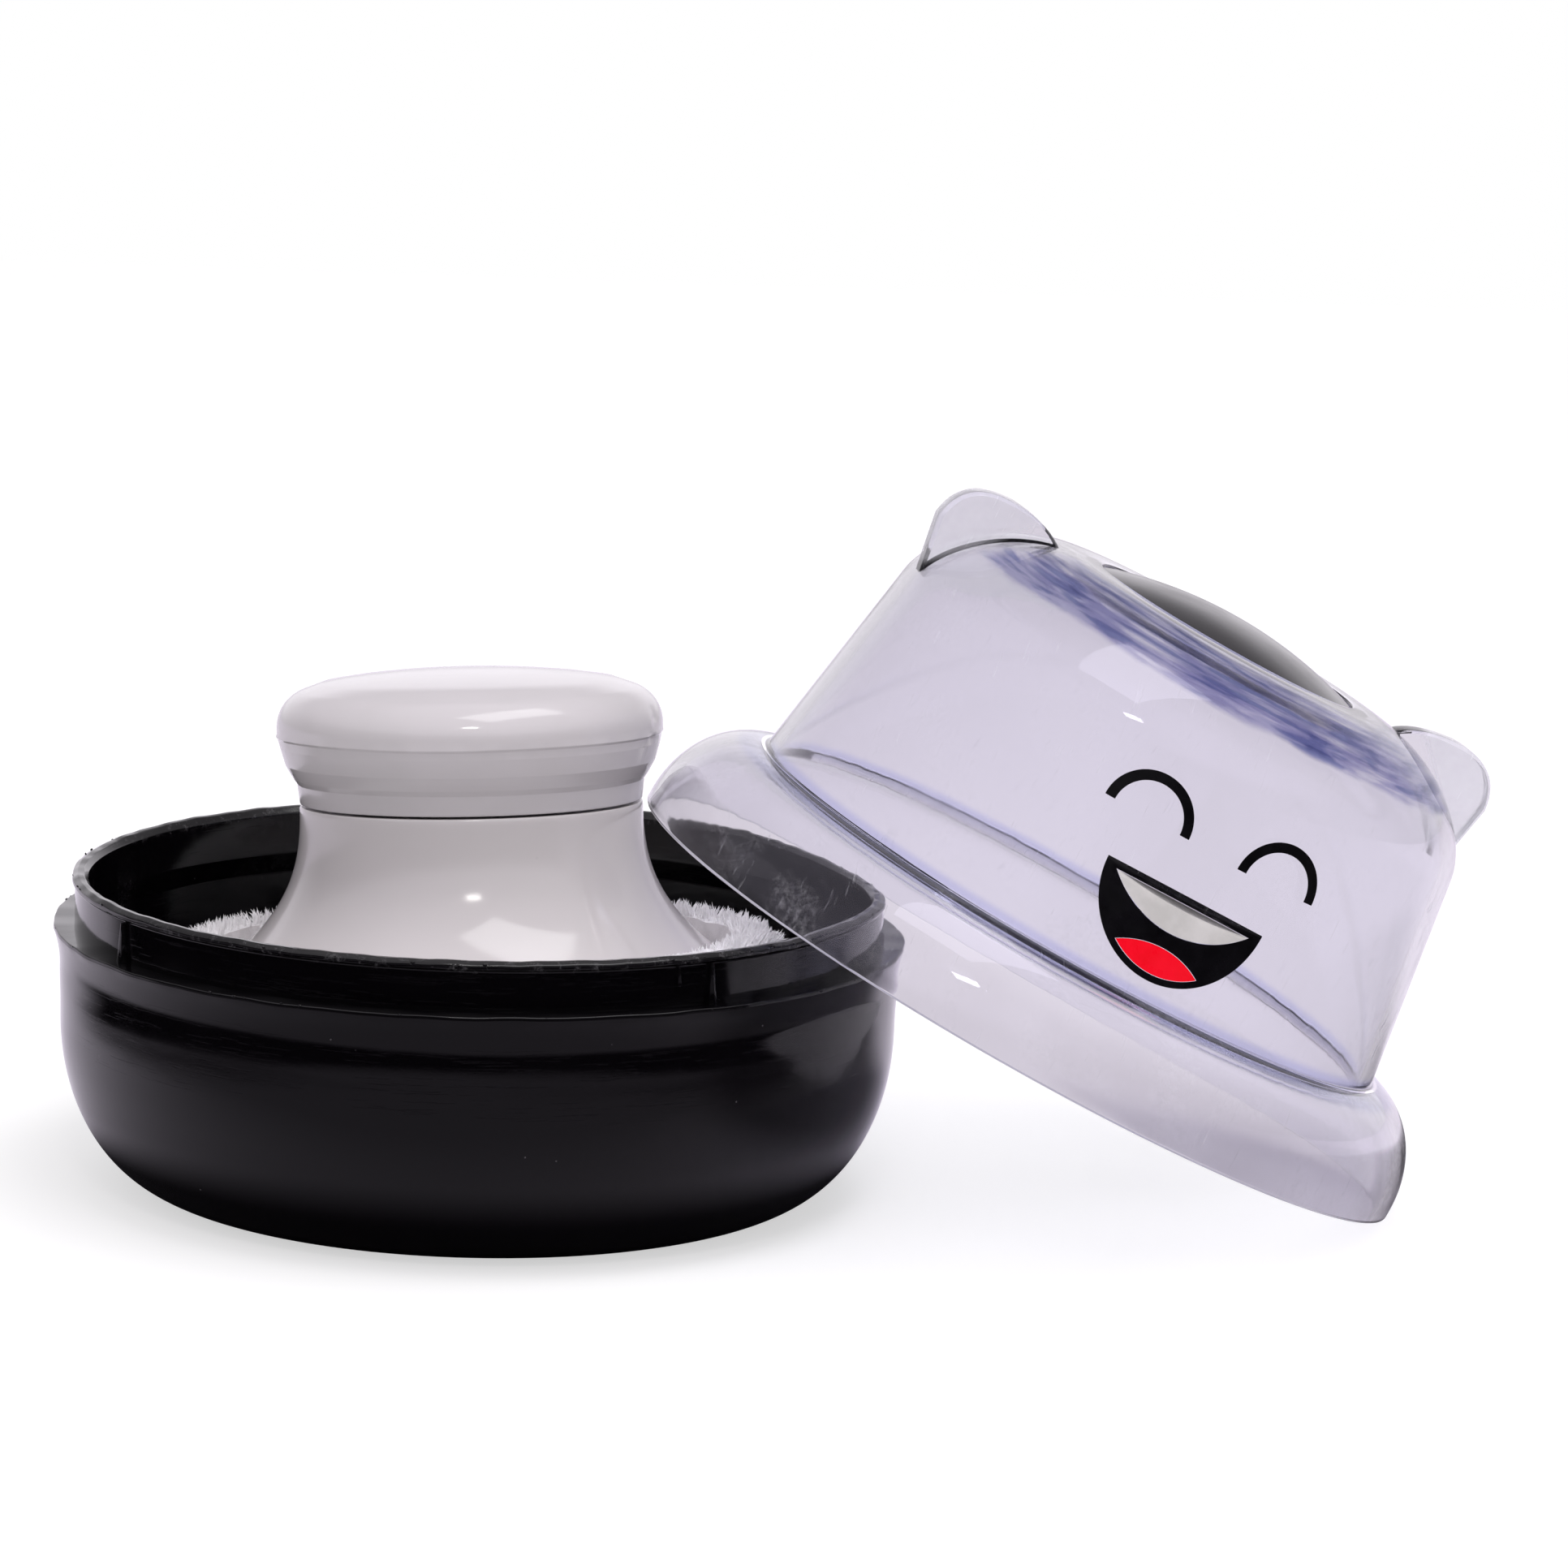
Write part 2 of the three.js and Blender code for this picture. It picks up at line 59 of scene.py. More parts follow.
PUFF_PIVOT = Vector((-1, -0.5, 36)) * MM
PUFF_LEAN_BACK = 5
PUFF_LEAN_LEFT = 2.7
LID_MOUTH = Vector((63.4, 2.2, 0)) * MM
LID_TILT = 27.4
LID_LEAN_BACK = 2.9
LID_SPIN = 10
LID_MOUTH_RADIUS = 50


def turned(x, y, z):
    """A rotation matrix: about Z first, then Y, then X, in degrees."""
    about = [Matrix.Rotation(math.radians(a), 4, axis) for a, axis in ((x, "X"), (y, "Y"), (z, "Z"))]
    return about[0] @ about[1] @ about[2]


BOWL_FRAME = Matrix.Identity(4)
PUFF_FRAME = (
    Matrix.Translation(PUFF_PIVOT)
    @ turned(-PUFF_LEAN_BACK, -PUFF_LEAN_LEFT, 0)
    @ Matrix.Translation((0, 0, -PUFF_PIVOT.z))
)
lid_fall = math.acos(math.cos(math.radians(LID_TILT)) * math.cos(math.radians(LID_LEAN_BACK)))
LID_FRAME = Matrix.Translation(
    LID_MOUTH + Vector((0, 0, LID_MOUTH_RADIUS * MM * math.sin(lid_fall)))
) @ turned(-LID_LEAN_BACK, LID_TILT, LID_SPIN)

# ---- Profiles and meshes ---------------------------------------------------------------------------------


def arc(r, z, radius_r, radius_z, start, end, steps, bulge=1.0):
    """Points on part of an ellipse round (r, z). A bulge above 1 flattens it towards a chamfer."""
    points = []
    for a in np.radians(np.linspace(start, end, steps + 1)):
        c, s = math.cos(a), math.sin(a)
        points.append(
            (
                r + radius_r * math.copysign(abs(c) ** bulge, c),
                z + radius_z * math.copysign(abs(s) ** bulge, s),
            )
        )
    return points


def filleted(points, steps=4):
    """A polyline of (r, z) or (r, z, fillet radius), with its corners rounded."""
    out = []
    for i, p in enumerate(points):
        here = np.array(p[:2], float)
        if len(p) == 2 or i in (0, len(points) - 1):
            out.append(tuple(here))
            continue
        before, after = (np.array(points[j][:2], float) - here for j in (i - 1, i + 1))
        lengths = np.linalg.norm(before), np.linalg.norm(after)
        before, after = before / lengths[0], after / lengths[1]
        half = math.acos(np.clip(before @ after, -1, 1)) / 2
        reach = min(p[2] / max(math.tan(half), 1e-6), 0.45 * min(lengths))
        for t in np.linspace(0, 1, steps + 1):
            # a quadratic curve from one side of the corner to the other
            out.append(tuple(here + before * reach * (1 - t) ** 2 + after * reach * t**2))
    return out


def obj_from(name, vertices, faces, matrix, sharp=40):
    """A smooth-shaded object from metres. Edges of more than sharp degrees stay sharp."""
    mesh = bpy.data.meshes.new(name)
    mesh.from_pydata([tuple(v) for v in vertices], [], faces)
    mesh.validate()
    made = bmesh.new()
    made.from_mesh(mesh)
    bmesh.ops.recalc_face_normals(made, faces=made.faces)
    made.to_mesh(mesh)
    made.free()
    mesh.shade_smooth()
    mesh.set_sharp_from_angle(angle=math.radians(sharp))
    obj = bpy.data.objects.new(name, mesh)
    scene.collection.objects.link(obj)
    obj.matrix_world = matrix
    return obj


def lathe_mesh(profile, segments, wobble=None):
    """Vertices (metres) and faces of a profile turned round Z. A profile with both ends off the axis is closed.
    wobble(r, z, angle) gives a shift of the point, in millimetres, as (outwards, up)."""
    points = [profile[0]]
    for p in profile[1:]:
        if math.dist(p, points[-1]) > 1e-5:
            points.append(p)
    ring = points[0][0] > 1e-6 and points[-1][0] > 1e-6
    if ring and math.dist(points[0], points[-1]) < 1e-5:
        points.pop()
    vertices, rows = [], []
    for r, z in points:
        if r <= 1e-6:
            rows.append([len(vertices)])
            vertices.append((0, 0, z * MM))
            continue
        rows.append(list(range(len(vertices), len(vertices) + segments)))
        for k in range(segments):
            a = 2 * math.pi * k / segments
            out, up = wobble(r, z, a) if wobble else (0, 0)
            vertices.append(((r + out) * MM * math.cos(a), (r + out) * MM * math.sin(a), (z + up) * MM))
    faces = []
    pairs = list(zip(rows, rows[1:], strict=False))
    if ring:
        pairs.append((rows[-1], rows[0]))
    for low, high in pairs:
        if len(low) == len(high) == 1:
            continue
        for k in range(segments):
            m = (k + 1) % segments
            if len(low) == 1:
                faces.append((low[0], high[k], high[m]))
            elif len(high) == 1:
                faces.append((low[k], low[m], high[0]))
            else:
                faces.append((low[k], low[m], high[m], high[k]))
    return vertices, faces


def lathe(name, profile, segments, matrix, wobble=None, sharp=40):
    vertices, faces = lathe_mesh(profile, segments, wobble)
    return obj_from(name, vertices, faces, matrix, sharp)


def ring_noise(seed, waves):
    """A smooth random function of an angle, about -1 to 1, that closes on itself."""
    rng = np.random.default_rng(seed)
    terms = [(n, rng.normal() / len(waves) ** 0.5, rng.uniform(0, 2 * math.pi)) for n in waves]
    return lambda a: sum(w * math.cos(n * a + p) for n, w, p in terms)


# ---- Materials -------------------------------------------------------------------------------------------


class Material:
    """Builds one node material around a Principled shader. Lengths in its calls are millimetres."""

    def __init__(self, name, spin=0):
        """spin, in degrees, is what with_spin() has put into the mesh, and is taken out of the coordinates."""
        self.material = bpy.data.materials.new(name)
        self.material.use_nodes = True
        self.nodes = self.material.node_tree.nodes
        self.links = self.material.node_tree.links
        self.shader = self.nodes["Principled BSDF"]
        self.output = self.nodes["Material Output"]
        self.place = self.nodes.new("ShaderNodeTexCoord").outputs["Object"]
        if spin:
            values = {"Vector": self.place, "Angle": math.radians(-spin)}
            self.place = self.node("VectorRotate", values, rotation_type="Z_AXIS").outputs["Vector"]

    def node(self, kind, values=None, **settings):
        made = self.nodes.new("ShaderNode" + kind)
        for key, value in settings.items():
            setattr(made, key, value)
        for key, value in (values or {}).items():
            self.feed(made.inputs[key], value)
        return made

    def feed(self, socket, value):
        if isinstance(value, bpy.types.NodeSocket):
            self.links.new(value, socket)
        elif isinstance(value, tuple) and len(value) == 3 and socket.type == "RGBA":
            socket.default_value = (*value, 1)
        else:
            socket.default_value = value

    def set(self, **values):
        for key, value in values.items():
            self.feed(self.shader.inputs[key.replace("_", " ")], value)

    def noise(self, size, detail=2.0, roughness=0.5, stretch=(1, 1, 1), warp=0.0):
        place = self.node(
            "Mapping", {"Vector": self.place, "Scale": tuple(1 / s for s in stretch)}
        ).outputs["Vector"]
        return self.node(
            "TexNoise",
            {
                "Vector": place,
                "Scale": 1000 / size,
                "Detail": detail,
                "Roughness": roughness,
                "Distortion": warp,
            },
        ).outputs["Fac"]

    def cells(self, size, feature="F1", randomness=1.0):
        values = {"Vector": self.place, "Scale": 1000 / size, "Randomness": randomness}
        return self.node("TexVoronoi", values, feature=feature).outputs["Distance"]

    def math(self, operation, a, b=0.0, clamp=False):
        return self.node("Math", {0: a, 1: b}, operation=operation, use_clamp=clamp).outputs[0]

    def span(self, value, low, high, out_low=0.0, out_high=1.0, smooth=True):
        """value from low..high to out_low..out_high, held at the ends."""
        kind = "SMOOTHSTEP" if smooth else "LINEAR"
        values = {"Value": value, 1: low, 2: high, 3: out_low, 4: out_high}
        return self.node("MapRange", values, interpolation_type=kind).outputs[0]

    def mix(self, share, a, b, blend="MIX"):
        made = self.node("Mix", data_type="RGBA", blend_type=blend)
        for index, value in ((0, share), (6, a), (7, b)):
            self.feed(made.inputs[index], value)
        return made.outputs[2]

    def bump(self, height, strength, distance):
        """distance is in millimetres."""
        values = {"Height": height, "Strength": strength, "Distance": distance * MM}
        return self.node("Bump", values).outputs["Normal"]

    def axes(self):
        parts = self.node("SeparateXYZ", {"Vector": self.place}).outputs
        return parts["X"], parts["Y"], parts["Z"]

    def radius(self):
        """Distance from the piece's own axis, in metres."""
        x, y, _ = self.axes()
        flat = self.node("CombineXYZ", {"X": x, "Y": y}).outputs[0]
        return self.node("VectorMath", {0: flat}, operation="LENGTH").outputs["Value"]

    def angle(self):
        """Angle round the piece's own axis, in radians."""
        x, y, _ = self.axes()
        return self.math("ARCTAN2", y, x)


def black_bowl():
    m = Material("bowl_black_plastic")
    _, _, z = m.axes()
    r = m.radius()
    # inside the middle of the wall's thickness, which is an ellipse at the foot and upright above it
    across = m.math("MAXIMUM", m.math("DIVIDE", m.math("SUBTRACT", r, 0.0342), 0.01375), 0.0)
    down = m.math("MAXIMUM", m.math("DIVIDE", m.math("SUBTRACT", 0.020, z), 0.0189), 0.0)
    wall = m.math("ADD", m.math("MULTIPLY", across, across), m.math("MULTIPLY", down, down))
    neck = m.math("MULTIPLY", m.span(z, 0.0300, 0.0306), m.span(r, 0.0466, 0.0468))
    inside = m.math("MULTIPLY", m.span(wall, 1.02, 0.98), m.math("SUBTRACT", 1.0, neck))
    cloud = m.span(m.noise(17, 5, 0.6, warp=0.6), 0.42, 0.72)
    grain = m.span(m.noise(0.5, 3, 0.7), 0.4, 0.75)
    haze = m.math("MULTIPLY", m.math("MULTIPLY", inside, cloud), m.math("ADD", 0.35, grain))
    specks = m.math("MULTIPLY", m.span(m.cells(2.6), 0.05, 0.025), m.span(m.noise(9), 0.5, 0.62))
    rim = m.math("MULTIPLY", m.span(z, 0.0352, 0.0362), m.span(m.noise(1.1, 4, 0.8), 0.52, 0.72))
    dust = m.math("ADD", m.math("MULTIPLY", haze, 0.013), m.math("MULTIPLY", specks, 0.07))
    dust = m.math("ADD", dust, m.math("MULTIPLY", rim, 0.06), clamp=True)
    tone = m.mix(m.noise(30, 2), (0.0010, 0.0008, 0.0012), (0.0022, 0.0018, 0.0026))
    m.set(Base_Color=m.mix(dust, tone, (0.80, 0.77, 0.82)))
    smudge = m.span(m.noise(22, 4, 0.6, stretch=(1, 1, 0.5)), 0.35, 0.7, 0.06, 0.12)
    m.set(Roughness=m.math("ADD", smudge, m.math("MULTIPLY", haze, 0.4), clamp=True))
    fine = m.noise(0.35, 2, 0.6)
    waves = m.noise(12, 2, 0.4, stretch=(1, 1, 0.35))
    scratch = m.span(m.noise(1.4, 3, 0.7, stretch=(9, 9, 0.25)), 0.6, 0.64)
    height = m.math("ADD", m.math("MULTIPLY", fine, 0.05), m.math("MULTIPLY", waves, 0.5))
    height = m.math("SUBTRACT", height, m.math("MULTIPLY", scratch, 0.05))
    m.set(Normal=m.bump(height, 0.12, 0.25))
    m.shader.inputs["Specular IOR Level"].default_value = 0.38
    return m.material


def white_handle(name, warmth):
    m = Material(name)
    tone = m.mix(m.span(m.noise(16, 3), 0.3, 0.7), (0.60, 0.575, 0.585), (0.635, 0.605, 0.62))
    tone = m.mix(warmth, tone, (0.63, 0.595, 0.59))
    marks = m.math("MULTIPLY", m.span(m.cells(5.5), 0.045, 0.02), m.span(m.noise(14), 0.55, 0.65))
    m.set(Base_Color=m.mix(m.math("MULTIPLY", marks, 0.35), tone, (0.30, 0.27, 0.28)))
    m.set(Roughness=m.span(m.noise(11, 4, 0.6), 0.35, 0.7, 0.09, 0.16))
    height = m.math("ADD", m.noise(9, 2, 0.4), m.math("MULTIPLY", m.noise(0.5, 2), 0.05))
    m.set(Normal=m.bump(height, 0.06, 0.2))
    m.shader.inputs["Specular IOR Level"].default_value = 0.5
    m.shader.inputs["Subsurface Weight"].default_value = 0.08
    m.shader.inputs["Subsurface Radius"].default_value = (0.002, 0.0018, 0.0018)
    return m.material


def dome_black():
    """Black where the camera sees it directly. All other rays, those through the lid among them, meet it as pale
    indigo, because the photograph's shoulder is blue where the dome shows in it. This isn't physical."""
    m = Material("dome_black_plastic", LID_SPIN)
    m.shader.inputs["Specular IOR Level"].default_value = 0.33
    tone = m.mix(m.noise(8, 3), (0.006, 0.005, 0.006), (0.010, 0.008, 0.011))
    # painted refraction: pale indigo for every ray but the camera's, for the dome as seen through the lid
    direct = m.node("LightPath").outputs["Is Camera Ray"]
    m.set(Base_Color=m.mix(direct, (0.30, 0.31, 0.52), tone))
    m.set(Roughness=m.span(m.noise(7, 4, 0.6), 0.35, 0.7, 0.14, 0.22))
    m.set(Normal=m.bump(m.noise(5, 3), 0.05, 0.2))
    return m.material


def ink(name, low, high, gloss):
    """A printed film: slightly uneven in tone and grain."""
    m = Material(name, LID_SPIN)
    m.set(Base_Color=m.mix(m.span(m.noise(3.5, 4, 0.6), 0.3, 0.7), low, high))
    m.set(Roughness=m.span(m.noise(2, 3), 0.3, 0.7, gloss, gloss + 0.12))
    m.set(Normal=m.bump(m.noise(0.25, 2), 0.15, 0.03))
    m.shader.inputs["Specular IOR Level"].default_value = 0.1
    return m.material


def plush_white(name, low, high):
    m = Material(name)
    m.set(Base_Color=m.mix(m.span(m.noise(2.2, 4, 0.6), 0.3, 0.7), low, high))
    m.set(Roughness=m.span(m.noise(0.8, 3), 0.3, 0.7, 0.8, 0.95))
    m.set(Normal=m.bump(m.noise(0.3, 3, 0.7), 0.5, 0.25))
    m.shader.inputs["Sheen Weight"].default_value = 0.35
    m.shader.inputs["Sheen Roughness"].default_value = 0.6
    m.shader.inputs["Subsurface Weight"].default_value = 0.15
    m.shader.inputs["Subsurface Radius"].default_value = (0.002, 0.002, 0.002)
    return m.material


def foam_cream():
    m = Material("foam_cream")
    m.set(Base_Color=m.mix(m.span(m.cells(0.9), 0.1, 0.5), (0.74, 0.66, 0.45), (0.88, 0.82, 0.62)))
    m.set(Roughness=m.span(m.noise(1.5, 3), 0.3, 0.7, 0.85, 0.95))
    m.set(Normal=m.bump(m.cells(0.7), 0.8, 0.3))
    return m.material


def plain_disc():
    m = Material("disc_white_plastic")
    m.set(Base_Color=m.mix(m.noise(10, 3), (0.66, 0.64, 0.62), (0.72, 0.70, 0.68)))
    m.set(Roughness=m.span(m.noise(4, 4), 0.3, 0.7, 0.4, 0.55))
    m.set(Normal=m.bump(m.noise(0.6, 2), 0.2, 0.1))
    return m.material


def clear_lid():
    """Clear plastic that bends light, with faint waves, powder and scratches. Lamps shine straight through it.
    The tints at the wall's foot, on the flange's front and in the shoulder's front stand for what the real lid
    mirrors and bends as seen in the photograph. They are fixed to the lid."""
    m = Material("lid_clear_plastic", LID_SPIN)
    x, y, z = m.axes()
    cloud = m.span(m.noise(15, 5, 0.65, warp=0.8), 0.48, 0.75)
    powder = m.math("MULTIPLY", cloud, m.span(m.noise(0.8, 4, 0.8), 0.42, 0.7))
    low = m.span(z, 0.0135, 0.010, 0.35, 1.0)
    powder = m.math("MULTIPLY", powder, low)
    scratch = m.span(m.noise(1.2, 3, 0.7, stretch=(0.3, 6, 4)), 0.655, 0.7)
    haze = m.math("ADD", m.math("MULTIPLY", powder, 0.16), m.math("MULTIPLY", scratch, 0.10))
    # the ears are a little milky
    r = m.radius()
    lobes = m.span(m.math("ADD", r, z), 0.0770, 0.0785)
    lobes = m.math("MULTIPLY", lobes, m.span(m.math("ABSOLUTE", y), 0.0032, 0.0021))
    haze = m.math("ADD", haze, m.math("MULTIPLY", lobes, m.span(m.noise(6, 3), 0.3, 0.7, 0.26, 0.36)))
    clear = m.mix(m.noise(26, 4, 0.55), (0.925, 0.922, 0.972), (0.940, 0.936, 0.980))
    # painted refraction: an indigo line at the foot of the wall, where it meets the flange
    foot = m.math("MULTIPLY", m.span(z, 0.0114, 0.0121), m.span(z, 0.0140, 0.0130))
    clear = m.mix(m.math("MULTIPLY", foot, 0.8), clear, (0.66, 0.68, 0.93))
    # painted shade: the front of the flange is a little darker, for the shaded table seen through it
    front = m.math("MULTIPLY", m.span(z, 0.0112, 0.006), m.span(y, 0.0, -0.015))
    front = m.math("MULTIPLY", front, m.span(m.noise(16, 3), 0.35, 0.65, 0.6, 1.0))
    clear = m.mix(front, clear, (0.80, 0.79, 0.835))
    # painted refraction: the dark dome as it shows through the front of the shoulder, in streaks that follow its
    # edge
    sway = m.math("MULTIPLY", m.math("SUBTRACT", m.noise(11, 3), 0.5), 0.0022)
    band = m.span(m.math("ADD", z, sway), 0.0448, 0.0456)
    band = m.math("MULTIPLY", band, m.span(r, 0.0190, 0.0225))
    band = m.math("MULTIPLY", band, m.span(y, -0.0022, -0.0075))
    around = m.node("CombineXYZ", {"X": m.math("MULTIPLY", m.angle(), 0.0042), "Y": r})
    streak = m.node(
        "TexNoise",
        {"Vector": around.outputs[0], "Scale": 620, "Detail": 3, "Roughness": 0.5, "Distortion": 0.3},
    ).outputs["Fac"]
    broad = m.math("MULTIPLY", band, m.span(streak, 0.36, 0.50, 0.30, 1.0))
    clear = m.mix(broad, clear, (0.31, 0.31, 0.55))
    fine = m.math("MULTIPLY", band, m.span(streak, 0.53, 0.62))
    clear = m.mix(fine, clear, (0.07, 0.09, 0.29))
    m.set(Base_Color=clear)
    m.set(Transmission_Weight=m.math("SUBTRACT", 0.995, haze, clamp=True))
    m.set(Roughness=m.span(m.noise(14, 4, 0.6), 0.35, 0.7, 0.02, 0.05))
    waves = m.math("ADD", m.noise(13, 3, 0.5), m.math("MULTIPLY", scratch, 0.05))
    m.set(Normal=m.bump(waves, 0.12, 0.3))
    m.shader.inputs["IOR"].default_value = 1.5
    m.shader.inputs["Specular Tint"].default_value = (0.5, 0.48, 0.58, 1)
    lamps = m.node("BsdfTransparent", {"Color": (0.90, 0.89, 0.93)})
    shadow = m.node("LightPath").outputs["Is Shadow Ray"]
    both = m.node("MixShader", {0: shadow, 1: m.shader.outputs[0], 2: lamps.outputs[0]})
    m.links.new(both.outputs[0], m.output.inputs["Surface"])
    return m.material


def paint(obj, material):
    obj.data.materials.clear()
    obj.data.materials.append(material)
    return obj


def with_spin(obj):
    spin = Matrix.Rotation(math.radians(LID_SPIN), 4, "Z")
    obj.data.transform(spin)
    obj.matrix_world = LID_FRAME @ spin.inverted()


def place(obj, body, slot, material, *nodes):
    """Rides on a body, takes a material, and stands for CAD nodes."""
    if body == "lid":
        with_spin(obj)
    paint(obj, material)
    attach(obj, body)
    if nodes:
        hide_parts(*nodes)
    return obj


# ---- Camera ----------------------------------------------------------------------------------------------

CAMERA_ELEVATION = 10.72
CAMERA_ROLL = 1.886
CAMERA_TARGET = Vector((35.081, 0, 49.027)) * MM
CAMERA_DISTANCE = 0.8559
FOCAL_PIXELS = 9010
IMAGE_PIXELS = 1932

camera = bpy.data.objects.new("camera", bpy.data.cameras.new("camera"))
scene.collection.objects.link(camera)
elevation, roll = math.radians(CAMERA_ELEVATION), math.radians(CAMERA_ROLL)
forward = Vector((0, math.cos(elevation), -math.sin(elevation)))
upright = Vector((0, math.sin(elevation), math.cos(elevation)))
right = math.cos(roll) * Vector((1, 0, 0)) + math.sin(roll) * upright
up = math.cos(roll) * upright - math.sin(roll) * Vector((1, 0, 0))
camera.matrix_world = Matrix.Translation(CAMERA_TARGET - CAMERA_DISTANCE * forward) @ Matrix(
    (right, up, -forward)
).transposed().to_4x4()
camera.data.sensor_width = 36
camera.data.lens = 36 * FOCAL_PIXELS / IMAGE_PIXELS
camera.data.clip_start, camera.data.clip_end = 0.01, 20
scene.camera = camera

# ---- Bowl ------------------------------------------------------------------------------------------------

RIM_Z = 36.8
NECK_RADIUS = 47.5


def bowl_body():
    """The bowl, outside then inside. Its ledge and rim are slightly uneven, as moulded."""
    # the wall leans out a little, and flares into the ledge
    wall = [
        *((49.03, 22.0), (49.09, 23.3), (49.13, 24.3), (49.15, 25.2), (49.16, 26.2)),
        *((49.18, 26.8), (49.22, 27.3), (49.30, 27.9), (49.44, 28.7), (49.64, 29.5)),
    ]
    profile = [
        (0, 0),
        *arc(35, 20, 14, 20, -90, 0, 40)[:-1],
        *wall,
        *filleted([(49.8, 30.0), (49.97, 30.6, 0.2), (49.93, 31.02, 0.15), (NECK_RADIUS, 31.0)]),
        *filleted(
            [
                (NECK_RADIUS, 31.1),
                (NECK_RADIUS, 35.7, 0.4),
                (47.85, 35.95, 0.2),
                (47.85, RIM_Z - 0.35, 0.3),
                (47.2, RIM_Z, 0.35),
                (46.5, RIM_Z - 0.05, 0.35),
                (45.9, RIM_Z - 0.7, 0.4),
                (45.9, 31.2, 0.6),
                (46.9, 28.6, 1.0),
                (46.9, 24),
            ]
        ),
        *arc(33.4, 20, 13.5, 17.9, 0, -90, 36),
        (0, 2.1),
    ]
    rim = ring_noise(3, (2, 3, 17, 29, 41, 66, 97))
    edge = ring_noise(4, (3, 5, 23, 37, 59, 83, 111))

    def wobble(r, z, angle):
        if z > 36 and r > 46.5:
            return 0.035 * rim(angle), 0.05 * edge(angle)
        if 30 < z < 31.2 and r > 49:
            return 0.04 * edge(angle), 0.05 * rim(angle)
        return 0, 0

    return lathe_mesh(profile, 320, wobble)


def wedge(angle, height, foot, tip, depth, base_z):
    """A small tapered rib on the bowl's neck, with bevelled edges."""
    made = bmesh.new()
    corners = [(-foot / 2, 0), (foot / 2, 0), (tip / 2, height), (-tip / 2, height)]
    low = [made.verts.new((NECK_RADIUS - 0.4, x, base_z + z)) for x, z in corners]
    out = [NECK_RADIUS + depth * (1 - 0.35 * z / height) for _, z in corners]
    high = [made.verts.new((r, x * 0.7, base_z + z)) for r, (x, z) in zip(out, corners, strict=True)]
    made.faces.new(low[::-1])
    made.faces.new(high)
    for k in range(4):
        m = (k + 1) % 4
        made.faces.new((low[k], low[m], high[m], high[k]))
    bmesh.ops.bevel(made, geom=made.edges[:], offset=0.12, segments=2, affect="EDGES", profile=0.6)
    spin = Matrix.Rotation(math.radians(angle), 4, "Z")
    made.verts.index_update()
    vertices = [spin @ v.co * MM for v in made.verts]
    faces = [[v.index for v in f.verts] for f in made.faces]
    made.free()
    return vertices, faces


def joined(name, parts, matrix, sharp=40):
    """One object from several (vertices, faces)."""
    vertices, faces = [], []
    for v, f in parts:
        faces += [tuple(i + len(vertices) for i in face) for face in f]
        vertices += list(v)
    return obj_from(name, vertices, faces, matrix, sharp)


RIBS = [  # angle, height, width at the foot, width at the tip, depth
    (-146, 4.6, 1.5, 0.5, 0.75),
    (-54.6, 4.9, 1.5, 0.55, 0.75),
    (34, 4.8, 1.5, 0.6, 0.75),
    (124, 4.8, 1.5, 0.6, 0.75),
]
SHORT_RIB = (-59.7, 2.2, 0.7, 0.4, 0.5)
RIB_BASE_Z = 30.9
SHORT_RIB_BASE_Z = 33.4


def flash(count, seed, radius, z):
    """Mould flash: tiny uneven lumps along a ring of the bowl."""
    rng = np.random.default_rng(seed)
    parts = []
    for a in rng.uniform(-math.pi, math.pi, count):
        made = bmesh.new()
        bmesh.ops.create_icosphere(made, subdivisions=2, radius=rng.uniform(0.07, 0.22) * MM)
        squeeze = Vector((0.6, rng.uniform(0.8, 2.2), rng.uniform(0.5, 1.0)))
        spin = Matrix.Rotation(a, 3, "Z")
        middle = Vector((radius * MM, 0, z * MM))
        vertices = [spin @ (v.co * squeeze * (1 + 0.12 * rng.normal()) + middle) for v in made.verts]
        made.verts.index_update()
        parts.append((vertices, [[v.index for v in f.verts] for f in made.faces]))
        made.free()
    return parts


ribs = [wedge(*rib, RIB_BASE_Z) for rib in RIBS]
ribs.append(wedge(*SHORT_RIB, SHORT_RIB_BASE_Z))
ribs += flash(46, 14, 49.92, 30.95)  # on the ledge's edge
ribs += flash(40, 15, 47.8, 36.5)  # and on the rim
bowl = joined("bowl_shell", [bowl_body(), *ribs], BOWL_FRAME, 50)
place(bowl, "bowl", "bowl", black_bowl(), "bowl")

# ---- Puff ------------------------------------------------------------------------------------------------

WAIST_Z = 45.8
BELL_BASE_Z = 26.8


def cap_shell():
    """The cap: a domed top over a raised parting line, a concave groove, and a short neck."""
    profile = [
        (0, 59.2),
        (13, 58.4),
        (16.0, 56.2),
        (16.0, 41.4),
        *filleted([(16.0, 41.3), (17.8, 41.3, 0.2), (17.8, 45.95)]),
        *filleted(
            [
                (17.8, 45.95),
                (20.05, 45.95, 0.18),
                (20.32, 48.3, 0.3),
                (20.75, 48.9, 0.35),
                (21.65, 50.5, 0.6),
                (22.25, 52.6, 1.2),
                (22.42, 53.55, 0.25),
                (22.62, 53.8, 0.2),
                (22.6, 54.2),
            ],
            5,
        ),
        *arc(18, 54.8, 4.6, 4.6, 0, 74, 22),
        (17.4, 59.9),
        (14.6, 60.35),
        (11.5, 60.7),
        (8, 60.97),
        (4, 61.15),
        (0, 61.2),
    ]
    parting = ring_noise(8, (5, 9, 31, 47, 77))
    wave = ring_noise(9, (2, 3, 5))

    def wobble(r, z, angle):
        if 53.4 < z < 54.0 and r > 22.3:
            return 0.03 * parting(angle), 0.05 * wave(angle)
        return 0, 0

    return lathe("cap_shell", profile, 256, PUFF_FRAME, wobble)


